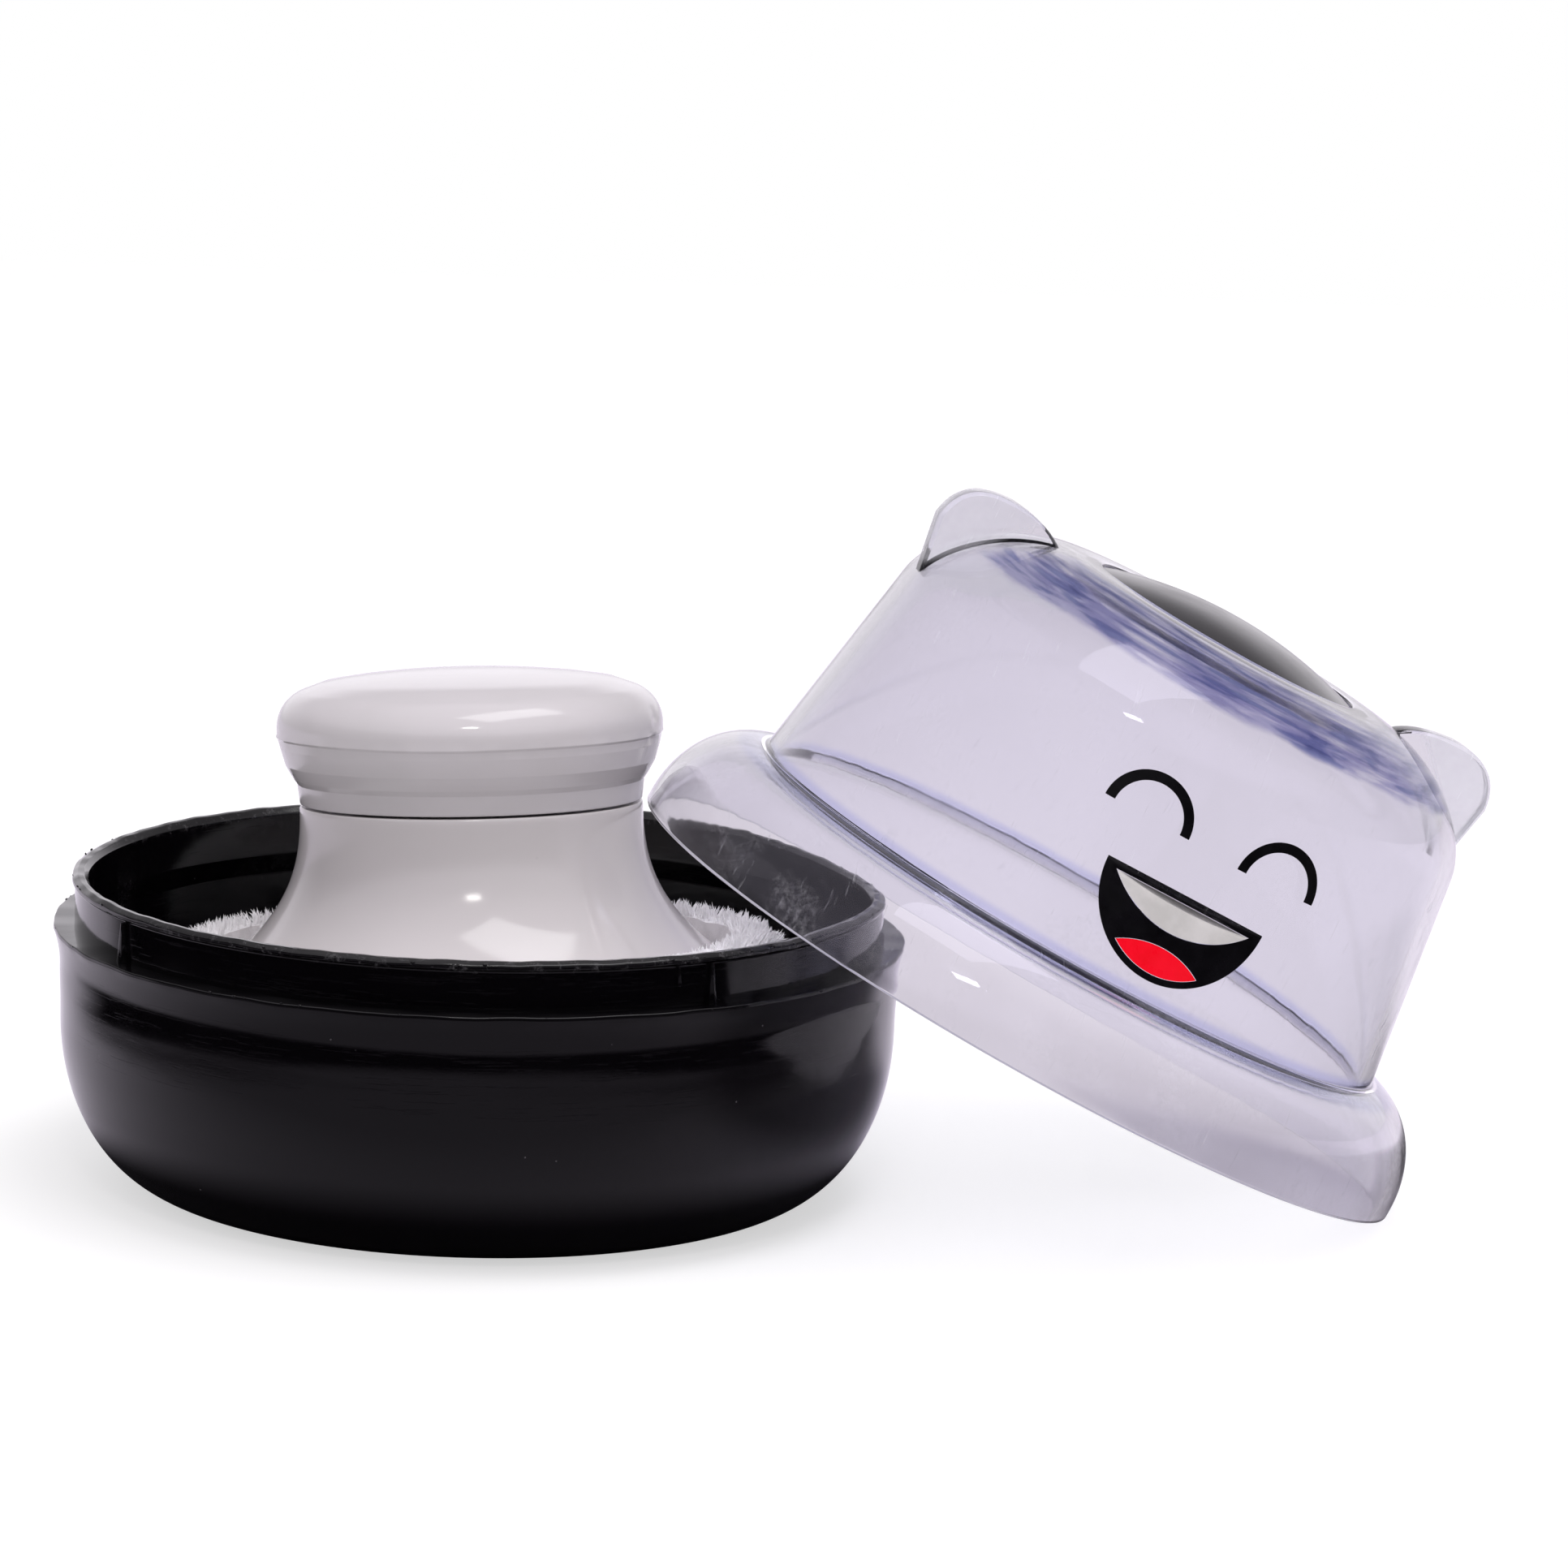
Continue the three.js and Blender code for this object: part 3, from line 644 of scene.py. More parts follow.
def dent(obj, centre, radius, depth):
    """Pushes in a shallow rough dent. centre is in the piece's own frame, in millimetres."""
    c = Vector(centre) * MM
    axis = Vector((c.x, c.y, 0)).normalized()
    rng = np.random.default_rng(5)
    for v in obj.data.vertices:
        away = (v.co - c).length / (radius * MM)
        if away < 1:
            fall = (1 - away**2) ** 2
            v.co -= axis * depth * MM * fall * (0.75 + 0.25 * rng.normal())


cap = cap_shell()
for centre, radius, depth in (
    ((22.0, -5.6, 55.9), 1.9, 0.34),
    ((21.7, -6.9, 53.6), 1.5, 0.26),
    ((20.9, -8.4, 52.4), 1.2, 0.22),
):
    dent(cap, centre, radius, depth)
place(cap, "puff", "handle", white_handle("cap_white_plastic", 0.0), "handle_cap")


def bell_radius(z):
    """The outside of the bell at height z."""
    share = (WAIST_Z - z) / (WAIST_Z - BELL_BASE_Z)
    return 20.1 + 9.9 * max(share, 0) ** 2.7


heights = np.linspace(45.35, BELL_BASE_Z + 0.3, 44)
outside = [(float(bell_radius(z)), float(z)) for z in heights]
inside = [(float(bell_radius(z)) - 2.0, float(z)) for z in heights[::-1]]
foot = filleted([outside[-1], (30.0, 26.8, 0.25), (28.0, 26.8, 0.25), inside[0]])
mouth = filleted([inside[-1], (18.1, 45.65, 0.15), (20.0, 45.65, 0.15), outside[0]])
bell = lathe("bell_shell", [*outside[:-1], *foot, *inside[1:-1], *mouth], 256, PUFF_FRAME)
place(bell, "puff", "handle", white_handle("bell_white_plastic", 0.55), "handle_bell")

disc = lathe(
    "puff_disc",
    filleted(
        [
            (0, 24.7),
            (29.5, 24.7, 0.4),
            (29.5, 26.5, 0.4),
            (25.2, 26.5, 0.15),
            (25.2, 28.1, 0.3),
            (23.8, 28.1, 0.3),
            (23.8, 26.5, 0.3),
            (0, 26.5),
        ]
    ),
    128,
    PUFF_FRAME,
)
place(disc, "puff", "disc", plain_disc(), "backing_disc")


def foam_body():
    """The foam: a rounded block with a slightly uneven skin."""
    profile = [
        (0, 8.5),
        *arc(12, 21.4, 14, 12.9, -90, 0, 24),
        *filleted([(26, 22), (26, 24.4, 0.8), (20, 24.4)]),
        (0, 24.4),
    ]
    vertices, faces = lathe_mesh(profile, 128)
    rng = np.random.default_rng(12)
    shaken = [Vector(v) * (1 + 0.0025 * rng.normal()) for v in vertices]
    return obj_from("foam_body", shaken, faces, PUFF_FRAME, 80)


foam = foam_body()
place(foam, "puff", "foam", foam_cream(), "foam_core")

# ---- Plush -----------------------------------------------------------------------------------------------

PLUSH_OUTSIDE = [
    (0, 4.4),
    *arc(8, 21, 28.2, 16.8, -90, 0, 26, 0.9),
    *arc(32.0, 26.4, 4.1, 3.3, 0, 90, 8),
    (30.6, 29.6),
]
PLUSH_INSIDE = [
    (30.5, 26.0),
    (30.4, 24.1),
    (26.5, 24.1),
    (26.5, 21.7),
    *arc(12, 21.4, 14.5, 13.4, 0, -90, 14),
    (0, 8.0),
]


def lumps(rng, count, reach, low, high):
    """Random bumps on the plush: centres (metres), radii and heights."""
    spots = []
    for _ in range(count):
        a, t = rng.uniform(0, 2 * math.pi), rng.uniform(0, 1)
        i = t * (len(PLUSH_OUTSIDE) - 1)
        j = int(i)
        k = min(j + 1, len(PLUSH_OUTSIDE) - 1)
        r = PLUSH_OUTSIDE[j][0] * (1 - i + j) + PLUSH_OUTSIDE[k][0] * (i - j)
        z = PLUSH_OUTSIDE[j][1] * (1 - i + j) + PLUSH_OUTSIDE[k][1] * (i - j)
        spots.append((r * math.cos(a) * MM, r * math.sin(a) * MM, z * MM))
    return np.array(spots), rng.uniform(0.7, 1.3, count) * reach * MM, rng.uniform(low, high, count) * MM


def plush_body():
    """The plush without its pile: a lumpy skin over a smooth hollow for the foam."""
    vertices, faces = lathe_mesh([*PLUSH_OUTSIDE, *PLUSH_INSIDE], 200)
    v = np.array(vertices)
    flat = np.hypot(v[:, 0], v[:, 1])
    skin = np.arange(len(v)) < len(lathe_mesh(PLUSH_OUTSIDE, 200)[0])
    rng = np.random.default_rng(21)
    spots, reach, height = lumps(rng, 900, 3.2, -0.5, 0.35)
    push = np.zeros(len(v))
    for p, size, h in zip(spots, reach, height, strict=True):
        d = np.linalg.norm(v - p, axis=1) / size
        push += np.where(d < 1, h * (1 - d**2) ** 2, 0)
    centre = np.c_[v[:, 0] * 0.35, v[:, 1] * 0.35, np.full(len(v), 0.019)]
    out = v - centre
    out /= np.linalg.norm(out, axis=1)[:, None] + 1e-9
    keep = skin & (flat > 0.0005)
    v[keep] += (out * np.clip(push, -0.0011, 0.0007)[:, None])[keep]
    return obj_from("plush_body", v, faces, PUFF_FRAME, 80)


def along_outside(count, rng, start, end):
    """Random points on the plush, evenly by area: position (m), normal, between two shares of its profile."""
    line = np.array(PLUSH_OUTSIDE)
    step = np.diff(line, axis=0)
    length = np.linalg.norm(step, axis=1)
    area = np.cumsum(length * (line[:-1, 0] + line[1:, 0]) / 2)
    area = np.r_[0, area]
    pick = rng.uniform(start * area[-1], end * area[-1], count)
    i = np.clip(np.searchsorted(area, pick) - 1, 0, len(step) - 1)
    t = (pick - area[i]) / np.maximum(area[i + 1] - area[i], 1e-9)
    rz = line[i] + step[i] * t[:, None]
    normal = np.c_[step[i][:, 1], -step[i][:, 0]] / length[i][:, None]
    a = rng.uniform(0, 2 * math.pi, count)
    c, s = np.cos(a), np.sin(a)
    return (
        np.c_[rz[:, 0] * c, rz[:, 0] * s, rz[:, 1]] * MM,
        np.c_[normal[:, 0] * c, normal[:, 0] * s, normal[:, 1]],
    )


def pile(name, count, seed, start, end, length, width, lean, pressed=1.0):
    """Tufts of pile: thin curved three-sided blades, gathered in clumps that lean the same way.
    pressed is their height at the front, where the puff leans on them, as a share of the full height."""
    rng = np.random.default_rng(seed)
    root, normal = along_outside(count, rng, start, end)
    clumps, clump_normal = along_outside(max(12, count // 14), rng, start, end)
    sway = rng.normal(0, 1, (len(clumps), 3))
    near = np.empty(count, int)
    for i in range(0, count, 500):
        gap = np.linalg.norm(root[i : i + 500, None] - clumps[None], axis=2)
        near[i : i + 500] = gap.argmin(1)
    front = np.clip(-root[:, 1] / np.hypot(root[:, 0], root[:, 1]) * 1.6 - 0.1, 0, 1)
    height = 1 - (1 - pressed) * front * front * (3 - 2 * front)
    tip_target = clumps[near] + clump_normal[near] * (length * MM * height)[:, None]
    long = length * MM * rng.uniform(0.65, 1.15, count) * height
    direction = normal + 0.35 * lean * sway[near] + 0.22 * rng.normal(0, 1, (count, 3))
    direction /= np.linalg.norm(direction, axis=1)[:, None]
    tip = root + direction * long[:, None]
    tip = tip * 0.62 + (tip_target + 0.3 * MM * rng.normal(0, 1, (count, 3))) * 0.38
    side = np.cross(direction, rng.normal(0, 1, (count, 3)))
    side /= np.linalg.norm(side, axis=1)[:, None]
    other = np.cross(direction, side)
    curl = side * (rng.uniform(-0.28, 0.28, count) * long)[:, None]
    vertices, faces = [], []
    rows = ((0.0, 1.0), (0.4, 0.9), (0.75, 0.6))
    start_at = root - normal * 0.5 * MM
    for k in range(count):
        base = len(vertices)
        for share, thick in rows:
            middle = start_at[k] * (1 - share) + tip[k] * share + curl[k] * 4 * share * (1 - share)
            for turn in range(3):
                a = 2 * math.pi * turn / 3 + share
                spoke = side[k] * math.cos(a) + other[k] * math.sin(a)
                vertices.append(middle + spoke * width * MM * thick / 2)
        vertices.append(tip[k])
        faces.append((base, base + 2, base + 1))
        for row in range(len(rows) - 1):
            for turn in range(3):
                a, b = base + 3 * row + turn, base + 3 * row + (turn + 1) % 3
                faces.append((a, b, b + 3, a + 3))
        last = base + 3 * (len(rows) - 1)
        for turn in range(3):
            faces.append((last + turn, last + (turn + 1) % 3, len(vertices) - 1))
    return obj_from(name, vertices, faces, PUFF_FRAME, 80)


plush = plush_body()
ground = plush_white("plush_ground", (0.80, 0.78, 0.79), (0.92, 0.90, 0.91))
place(plush, "puff", "plush", ground, "plush_cover")
pile_material = plush_white("plush_pile", (0.90, 0.885, 0.90), (0.97, 0.965, 0.97))
for name, count, seed, start, end, length, width, lean, pressed in (
    ("plush_pile_top", 5200, 31, 0.82, 1.0, 1.7, 0.28, 1.2, 0.1),
    ("plush_pile_side", 9000, 32, 0.0, 0.83, 2.3, 0.42, 0.8, 1.0),
):
    tufts = pile(name, count, seed, start, end, length, width, lean, pressed)
    place(tufts, "puff", "plush", pile_material)

# ---- Lid -------------------------------------------------------------------------------------------------

FLANGE_TOP = 12.6
WALL_FOOT_RADIUS = 40.8
WALL_TOP_RADIUS = 36.6
WALL_TOP_Z = 40.2
LID_WALL = 1.52
LID_TOP = 50.2


def wall_radius(h):
    """The outside of the lid's conical wall at height h."""
    share = (h - FLANGE_TOP) / (WALL_TOP_Z - FLANGE_TOP)
    return WALL_FOOT_RADIUS + (WALL_TOP_RADIUS - WALL_FOOT_RADIUS) * share


def shoulder():
    """The curve from the wall to the flat top: its outside, and its inside, both from the wall upwards."""
    foot = 38.2
    slope = (WALL_TOP_RADIUS - WALL_FOOT_RADIUS) / (WALL_TOP_Z - FLANGE_TOP)
    a, d = np.array((wall_radius(foot), foot)), np.array((20, LID_TOP))
    b, c = a + 5.5 * np.array((slope, 1)), np.array((28.5, LID_TOP))
    outside, inside = [], []
    for t in np.linspace(0, 1, 49):
        p = a * (1 - t) ** 3 + 3 * b * t * (1 - t) ** 2 + 3 * c * t**2 * (1 - t) + d * t**3
        way = (b - a) * (1 - t) ** 2 + 2 * (c - b) * t * (1 - t) + (d - c) * t**2
        out = np.array((way[1], -way[0])) / np.linalg.norm(way)
        outside.append(tuple(p))
        inside.append(tuple(p - out * LID_WALL))
    return outside, inside


def lid_body():
    """The lid's closed profile: flange, wall, shoulder, top with the dome's seat, and back down inside."""
    outer_shoulder, inner_shoulder = shoulder()
    outside = [
        *filleted([(49.3, 0.0), (50.0, 0.0, 0.25), (50.0, 1.0)]),
        *arc(40.8, 1, 9.2, 11.6, 2, 88, 40),
        *filleted([(41.6, 12.58), (40.8, 12.6, 0.3), (wall_radius(14.0), 14.0)]),
        *[(wall_radius(h), h) for h in np.linspace(15, 37.5, 18)],
        *outer_shoulder,
        *filleted([(18, 50.2), (16.8, 50.2, 0.25), (16.8, 49.2, 0.2), (14, 49.2)]),
        (0, 49.2),
    ]
    inside = [
        (0, 47.6),
        *filleted([(12, 47.6), (15.2, 47.6, 3), (18.6, 48.68, 3), inner_shoulder[-1]], 6),
        *inner_shoulder[-2::-1],
        *[(wall_radius(h) - LID_WALL, h) for h in np.linspace(37, 13, 18)],
        *filleted([(wall_radius(12.4) - LID_WALL, 12.4), (wall_radius(11.2) - 1.5, 11.2, 0.7), (40.9, 11.2)]),
        *arc(40.8, 1, 7.8, 10.2, 88, 2, 34),
        *filleted([(48.6, 0.8), (48.6, 0.0, 0.25), (49.3, 0.0)]),
    ]
    return outside + inside


def ear(side):
    """A flat lobe with rounded edges that stands on the shoulder and follows the line of the wall."""
    points = []
    corners = [(22, 48.6), (24.5, 51.7), (30.5, 52.1), (34, 52.1), (37.3, 51.1), (37.8, 46.5)]
    for t in np.linspace(0, 1, 12):
        a, b, c = (np.array(p) for p in corners[:3])
        points.append(a * (1 - t) ** 2 + 2 * b * t * (1 - t) + c * t**2)
    for t in np.linspace(0, 1, 16)[1:]:
        a, b, c, d = (np.array(p) for p in corners[2:])
        points.append(a * (1 - t) ** 3 + 3 * b * t * (1 - t) ** 2 + 3 * c * t**2 * (1 - t) + d * t**3)
    points += [np.array((36.25, 38.4)), np.array((31, 38.4)), np.array((24, 44.5))]
    if side < 0:
        points = points[::-1]
    made = bmesh.new()
    half = 1.8
    bevel = ((half, 0.5), (half - 0.4, 0.08), (half - 0.9, 0))  # distance from the middle, inset
    rings = []
    centre = np.mean(points, axis=0)
    for y, inset in [*((-y, inset) for y, inset in bevel), *bevel[::-1]]:
        ring = []
        for p in points:
            q = p + (centre - p) / np.linalg.norm(centre - p) * inset
            ring.append(made.verts.new((side * q[0] * MM, y * MM, q[1] * MM)))
        rings.append(ring)
    for low, high in zip(rings, rings[1:], strict=False):
        for k in range(len(points)):
            m = (k + 1) % len(points)
            made.faces.new((low[k], low[m], high[m], high[k]))
    made.faces.new(rings[0][::-1])
    made.faces.new(rings[-1])
    bmesh.ops.triangulate(made, faces=[f for f in made.faces if len(f.verts) > 4])
    made.verts.index_update()
    vertices = [v.co.copy() for v in made.verts]
    faces = [[v.index for v in f.verts] for f in made.faces]
    made.free()
    return vertices, faces


def inner_cutter():
    """The lid's hollow and half of its wall's thickness, to trim the ears with."""
    middle = [((a + c) / 2, (b + d) / 2) for (a, b), (c, d) in zip(*shoulder(), strict=True)]
    profile = [
        (0, 30),
        *[(wall_radius(h) - LID_WALL / 2, h) for h in np.linspace(30, 37.5, 6)],
        *middle,
        (0, middle[-1][1]),
    ]
    return lathe_mesh(profile, 160)


def boolean(target, other, operation):
    """Applies a boolean to target's mesh and removes the other object."""
    modifier = target.modifiers.new("cut", "BOOLEAN")
    modifier.operation = operation
    modifier.solver = "EXACT"
    modifier.object = other
    graph = bpy.context.evaluated_depsgraph_get()
    mesh = bpy.data.meshes.new_from_object(target.evaluated_get(graph))
    target.modifiers.clear()
    target.data = mesh
    bpy.data.objects.remove(other)


lid = lathe("lid_clear_shell", lid_body(), 240, Matrix.Identity(4), sharp=50)
for side in (-1, 1):
    lobe = obj_from("lobe", *ear(side), Matrix.Identity(4))
    trim = obj_from("trim", *inner_cutter(), Matrix.Identity(4))
    boolean(lobe, trim, "DIFFERENCE")
    boolean(lid, lobe, "UNION")
lid.data.shade_smooth()
lid.data.set_sharp_from_angle(angle=math.radians(35))
lid.modifiers.new("flat_faces_stay_flat", "WEIGHTED_NORMAL").keep_sharp = True
lid.matrix_world = LID_FRAME
place(lid, "lid", "clear_lid", clear_lid(), "lid_shell")


def shallow_cap(radius, z, rise, steps):
    """Points on a spherical cap over the circle of this radius at height z, from its edge to its apex."""
    ball = (radius**2 + rise**2) / (2 * rise)
    half = math.degrees(math.asin(radius / ball))
    return arc(0, z + rise - ball, ball, ball, 90 - half, 90, steps)


under = shallow_cap(15.2, 49.5, 1.7, 30)[::-1]
edge = filleted([(15.2, 49.5), (16.5, 49.5, 0.12), (16.5, 49.9, 0.12), (16.0, 50.08)])
dome = lathe("dome_cap", [*under, *edge[1:-1], *shallow_cap(16.44, 49.95, 2.6, 48)], 200, LID_FRAME)
place(dome, "lid", "dome", dome_black(), "lid_dome")

# ---- Printed face ----------------------------------------------------------------------------------------

MOUTH_Z = 25.0
INK_OFF = 0.06
INK_THICK = 0.09


def circle(x, z, radius, start, end, steps):
    """Points on part of a circle of the front view, in degrees from +X."""
    a = np.radians(np.linspace(start, end, steps + 1))
    return [(x + radius * math.cos(t), z + radius * math.sin(t)) for t in a]


def eye_outline(x, z):
    return circle(x, z, 5.25, 0, 180, 48) + circle(x, z, 4.08, 180, 0, 40)


def teeth_outline(grow):
    top, depth, half = MOUTH_Z - 0.9, 3.5, 8.7
    curve = (half**2 + depth**2) / (2 * depth)
    centre = top - depth + curve
    reach = math.degrees(math.acos((centre - top - grow) / (curve + grow)))
    return circle(0, centre, curve + grow, -90 - reach, -90 + reach, 56)


def tongue_outline(grow):
    outer, inner, centre = 9.4 + grow, 10.2 + grow, 18.8 - 10.2
    rise = MOUTH_Z - centre
    below = (outer**2 - inner**2 + rise**2) / (2 * rise)
    lower = math.degrees(math.acos(below / outer))
    upper = math.degrees(math.acos((rise - below) / inner))
    return circle(0, MOUTH_Z, outer, -90 - lower, -90 + lower, 40) + circle(
        0, centre, inner, 90 - upper, 90 + upper, 40
    )


def inside_loop(p, loop):
    hit = False
    for (ax, ay), (bx, by) in zip(loop, loop[1:] + loop[:1], strict=True):
        if (ay > p[1]) != (by > p[1]) and p[0] < (bx - ax) * (p[1] - ay) / (by - ay) + ax:
            hit = not hit
    return hit


def decal(name, outline, holes, material, slot):
    """A printed film on the lid's wall, drawn on the front view and laid on the cone."""
    loops = [outline, *holes]
    points, edges = [], []
    for loop in loops:
        base = len(points)
        points += loop
        edges += [(base + k, base + (k + 1) % len(loop)) for k in range(len(loop))]
    xs, zs = zip(*outline, strict=True)
    for x in np.arange(min(xs), max(xs), 0.7):
        for z in np.arange(min(zs), max(zs), 0.7):
            p = (float(x), float(z))
            clear = all(min(math.dist(p, q) for q in loop) > 0.3 for loop in loops)
            if clear and inside_loop(p, outline) and not any(inside_loop(p, h) for h in holes):
                points.append(p)
    verts, _, tris, *_ = geometry.delaunay_2d_cdt([Vector(p) for p in points], edges, [], 0, 1e-5)
    kept = []
    for tri in tris:
        middle = sum((verts[i] for i in tri), Vector((0, 0))) / 3
        if inside_loop(middle, outline) and not any(inside_loop(middle, h) for h in holes):
            kept.append(tuple(tri))
    vertices = []
    for off in (INK_OFF, INK_OFF + INK_THICK):
        for v in verts:
            r = wall_radius(v.y) + off
            vertices.append((v.x * MM, -math.sqrt(r * r - v.x**2) * MM, v.y * MM))
    n = len(verts)
    faces = [tuple(reversed(t)) for t in kept] + [tuple(i + n for i in t) for t in kept]
    count = {}
    for t in kept:
        for a, b in ((t[0], t[1]), (t[1], t[2]), (t[2], t[0])):
            count[(a, b)] = count.get((a, b), 0) + 1
    for a, b in count:
        if (b, a) not in count:
            faces.append((a, b, b + n, a + n))
    used = sorted({i for f in faces for i in f})
    at = {old: new for new, old in enumerate(used)}
    film = obj_from(
        name, [vertices[i] for i in used], [tuple(at[i] for i in f) for f in faces], LID_FRAME, 35
    )
    return place(film, "lid", slot, material, name.replace("ink_", "print_"))


black = ink("ink_black", (0.0015, 0.0012, 0.002), (0.004, 0.0035, 0.005), 0.25)
white = ink("ink_white", (0.54, 0.525, 0.51), (0.63, 0.61, 0.60), 0.3)
red = ink("ink_red", (0.90, 0.0012, 0.010), (0.99, 0.004, 0.020), 0.25)
decal("ink_left_eye", eye_outline(-8.3, 30.75), [], black, "black_ink")
decal("ink_right_eye", eye_outline(8.85, 30.45), [], black, "black_ink")
mouth_outline = circle(0, MOUTH_Z, 10.2, -180, 0, 90)
decal("ink_mouth", mouth_outline, [teeth_outline(0.03), tongue_outline(0.03)], black, "black_ink")
decal("ink_teeth", teeth_outline(-0.03), [], white, "white_ink")
decal("ink_tongue", tongue_outline(-0.03), [], red, "red_ink")

# ---- Floor, lights and world -----------------------------------------------------------------------------

FLOOR_FRONT = -420
LOW_FRONT, LOW_BACK = 0.05, 1.15  # strength of the light near the horizon
MID_FRONT, MID_BACK = 1.2, 0.45  # and from there to about 50 degrees up
TOP_LIGHT = 0.92


def floor():
    """The table. It is plain white only to the camera's own rays. In reflections it is dim near the object, with
    a dark ring in front, and through the lid it is lilac-grey. The exported model has none of this."""
    corners = [(-900, FLOOR_FRONT), (900, FLOOR_FRONT), (900, 900), (-900, 900)]
    vertices = [(x * MM, y * MM, z * MM) for z in (-1.2, -0.15) for x, y in corners]
    faces = [(3, 2, 1, 0), (4, 5, 6, 7), *[(k, (k + 1) % 4, (k + 1) % 4 + 4, k + 4) for k in range(4)]]
    made = obj_from("floor", vertices, faces, Matrix.Identity(4))
    m = Material("floor_white")
    m.set(Base_Color=m.mix(m.noise(60, 3), (0.90, 0.90, 0.905), (0.92, 0.92, 0.92)))
    m.set(Roughness=m.span(m.noise(30, 3), 0.3, 0.7, 0.6, 0.7))
    m.shader.inputs["Specular IOR Level"].default_value = 0.0
    rays = m.node("LightPath").outputs
    _, y, _ = m.axes()
    # painted shadow, seen only in reflections: near the object its reflection fades towards the front, under the
    # bowl and beside the lid
    near = m.math("MULTIPLY", m.span(y, -0.09, 0.03, 0.30, 1.0), m.span(m.radius(), 0.044, 0.056, 0.05, 1.0))
    lid_shadow_distance = m.node("VectorMath", {0: m.place, 1: (0.115, -0.005, 0)}, operation="DISTANCE")
    near = m.math("MULTIPLY", near, m.span(lid_shadow_distance.outputs["Value"], 0.045, 0.080, 0.3, 1.0))
    # a dark ring round the bowl's front shows in the bowl as the black band under its ledge
    oval = m.node("VectorMath", {0: m.place, 1: (1.15, 1, 0)}, operation="MULTIPLY")
    reach = m.node("VectorMath", {0: oval.outputs[0]}, operation="LENGTH").outputs["Value"]
    far = m.math("MULTIPLY", m.span(reach, 0.124, 0.142), m.span(y, 0.075, 0.025))
    far = m.math("MULTIPLY", far, m.span(reach, 0.206, 0.226, 1.0, 0.35))
    near = m.math("MULTIPLY", near, m.math("SUBTRACT", 1.0, far))
    mirrored = m.mix(near, (0, 0, 0), (0.95, 0.90, 1.0))
    mirrored = m.mix(rays["Is Glossy Ray"], (0.92, 0.92, 0.92), mirrored)
    mirrored = m.mix(rays["Is Transmission Ray"], mirrored, (0.76, 0.735, 0.765))
    dim = m.node("BsdfDiffuse", {"Color": mirrored})
    strength = m.math("MULTIPLY", rays["Is Diffuse Ray"], 0.16)
    bounce = m.node("Emission", {"Color": (1, 1, 1), "Strength": strength})
    dim = m.node("AddShader", {0: dim.outputs[0], 1: bounce.outputs[0]})
    glow = m.node("Emission", {"Color": (1, 1, 1), "Strength": 1.3})
    white = m.node("MixShader", {0: 0.45, 1: m.shader.outputs[0], 2: glow.outputs[0]})
    both = m.node("MixShader", {0: rays["Is Camera Ray"], 1: dim.outputs[0], 2: white.outputs[0]})
    m.links.new(both.outputs[0], m.output.inputs["Surface"])
    paint(made, m.material)


def softbox(name, aim, azimuth, elevation, distance, size, power, color=(1, 1, 1)):
    """A rectangular lamp that shines at aim. Azimuth 0 is the camera's side, and 90 is the right."""
    a, e = math.radians(azimuth), math.radians(elevation)
    way = Vector((math.sin(a) * math.cos(e), -math.cos(a) * math.cos(e), math.sin(e)))
    lamp = bpy.data.lights.new(name, "AREA")
    lamp.shape = "RECTANGLE"
    lamp.size, lamp.size_y = size
    lamp.energy = power
    lamp.color = color
    obj = bpy.data.objects.new(name, lamp)
    scene.collection.objects.link(obj)
    obj.location = Vector(aim) + way * distance
    obj.rotation_euler = way.to_track_quat("Z", "Y").to_euler()
    return obj


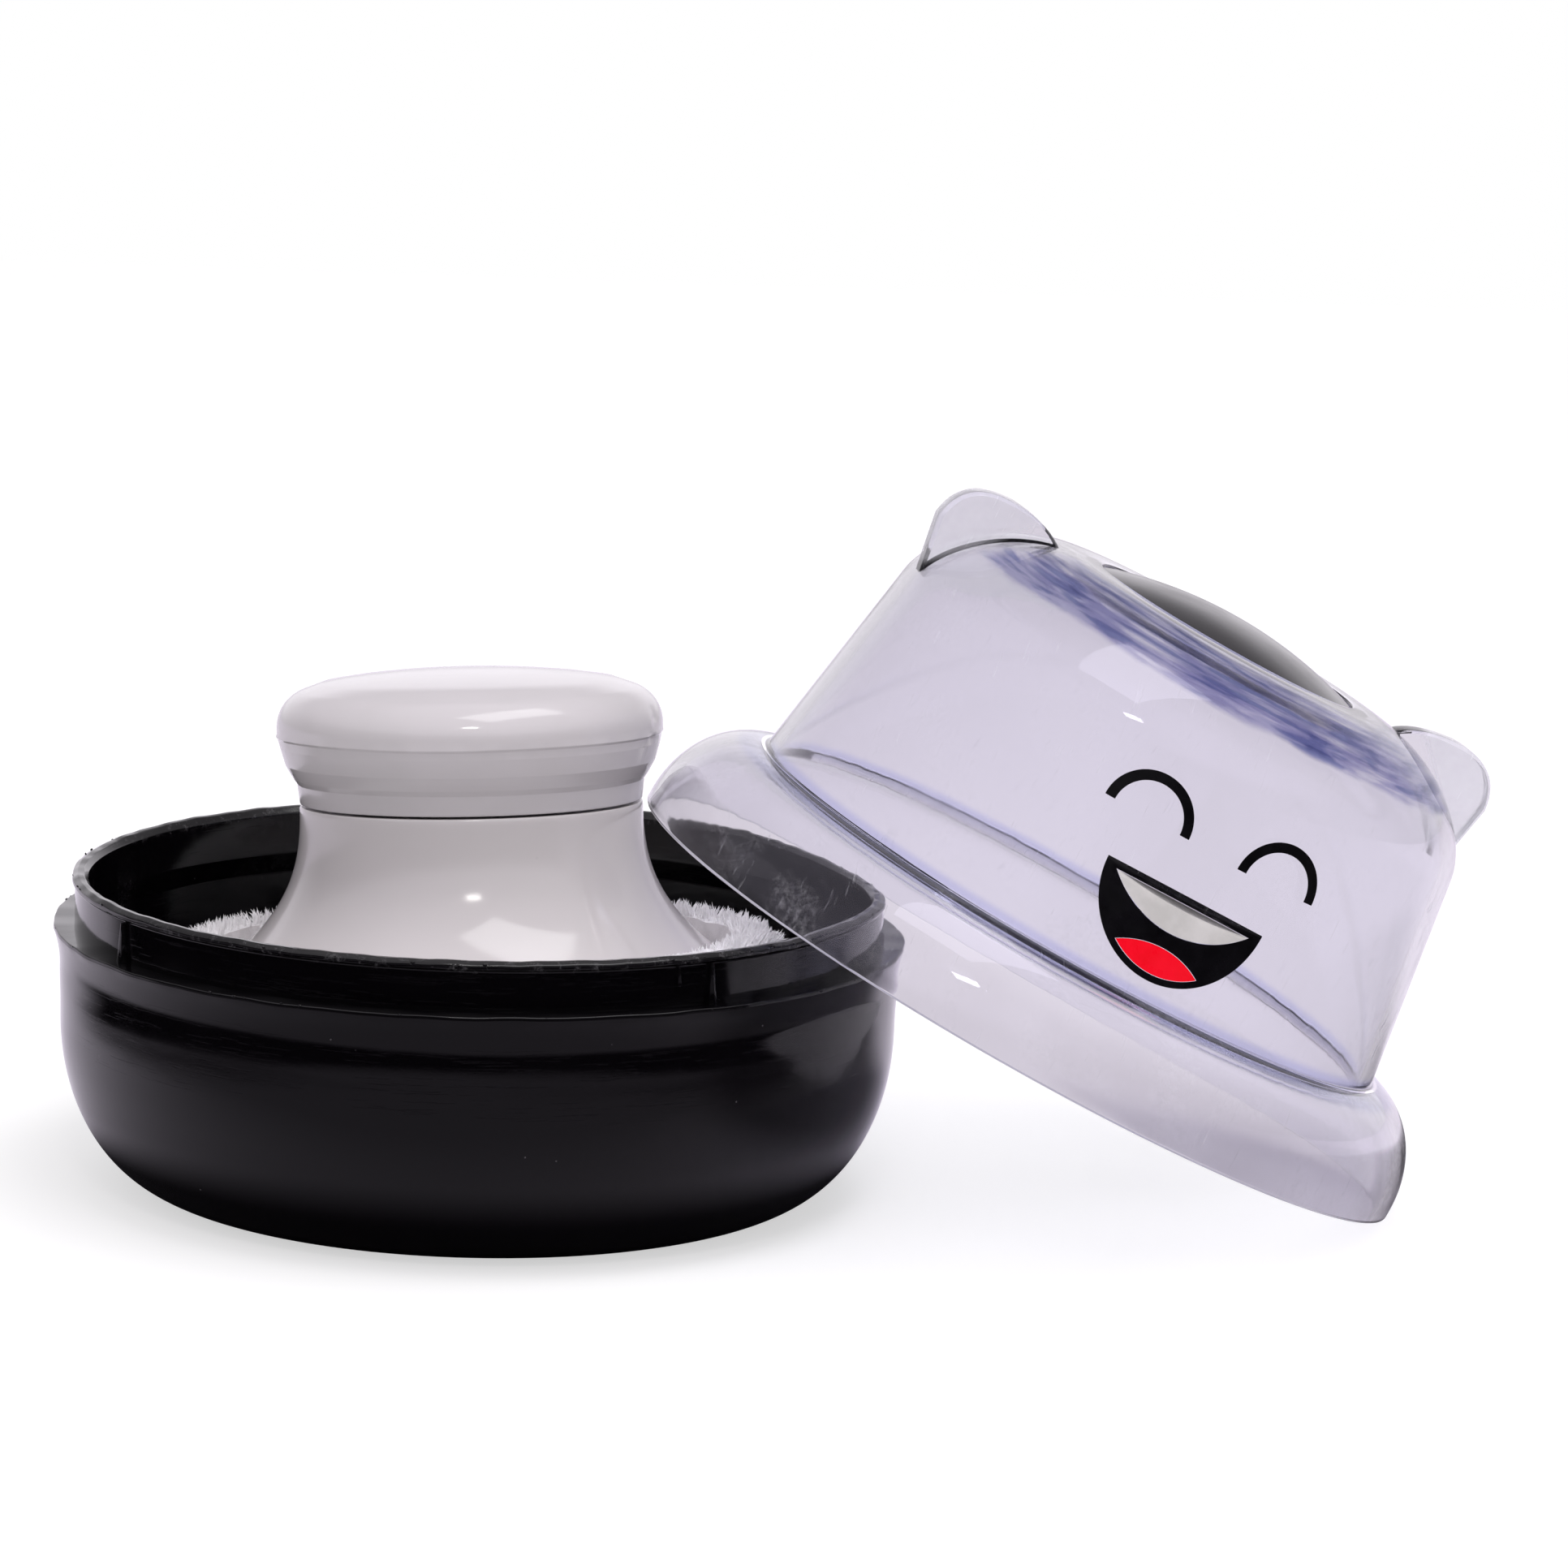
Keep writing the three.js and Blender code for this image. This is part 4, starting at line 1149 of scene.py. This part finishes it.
def world():
    """A dim front, brighter sides, and a bright back and top, for reflections and soft light. The camera itself
    sees plain white, and through the lid it sees grey."""
    made = bpy.data.worlds.new("studio")
    scene.world = made
    made.use_nodes = True
    nodes, links = made.node_tree.nodes, made.node_tree.links

    def node(kind, values, output=0, **settings):
        new = nodes.new("ShaderNode" + kind)
        for key, value in settings.items():
            setattr(new, key, value)
        for key, value in values.items():
            if isinstance(value, bpy.types.NodeSocket):
                links.new(value, new.inputs[key])
            else:
                new.inputs[key].default_value = value
        return new.outputs[output]

    place = node("TexCoord", {}, "Generated")
    parts = nodes.new("ShaderNodeSeparateXYZ")
    links.new(place, parts.inputs[0])
    flat = node("VectorMath", {0: place, 1: (1, 1, 0)}, operation="MULTIPLY")
    level = node("VectorMath", {0: flat}, operation="NORMALIZE")
    front = node("VectorMath", {0: level, 1: (0, -1, 0)}, "Value", operation="DOT_PRODUCT")
    up = parts.outputs["Z"]
    low = node("MapRange", {"Value": front, 1: -0.40, 2: -0.95, 3: LOW_FRONT, 4: LOW_BACK})
    below = node("MapRange", {"Value": up, 1: -0.12, 2: 0.0, 3: 0.3, 4: 1.0})
    low = node("Math", {0: low, 1: below}, operation="MULTIPLY")
    middle = node("MapRange", {"Value": front, 1: 0.7, 2: -0.5, 3: MID_FRONT, 4: MID_BACK})
    rise = node("MapRange", {"Value": up, 1: 0.20, 2: 0.42}, interpolation_type="SMOOTHSTEP")
    high = node("MapRange", {"Value": up, 1: 0.75, 2: 0.92}, interpolation_type="SMOOTHSTEP")
    strength = node("Mix", {0: rise, 2: low, 3: middle})
    strength = node("Mix", {0: high, 2: strength, 3: TOP_LIGHT})
    bent = node("MapRange", {"Value": front, 1: 0.3, 2: -0.3, 3: 0.50, 4: 0.64})
    strength = node("Mix", {0: node("LightPath", {}, "Is Transmission Ray"), 2: strength, 3: bent})
    light = node("Background", {"Color": (0.98, 0.945, 1.0, 1), "Strength": strength})
    plain = node("Background", {"Color": (1, 1, 1, 1), "Strength": 1.0})
    sight = node("LightPath", {}, "Is Camera Ray")
    both = node("MixShader", {0: sight, 1: light, 2: plain})
    links.new(both, nodes["World Output"].inputs["Surface"])


floor()
world()
lamps = (
    softbox("top_box", (0.02, 0, 0.04), 54, 74, 0.9, (0.70, 0.36), 2.9),
    softbox("front_lamp", (0.0, -0.02, 0.05), 1, 41, 1.3, (0.17, 0.09), 1.2, (1.0, 0.985, 0.95)),
)
for lamp in lamps:
    lamp.visible_transmission = False
scene.view_settings.view_transform = "Standard"
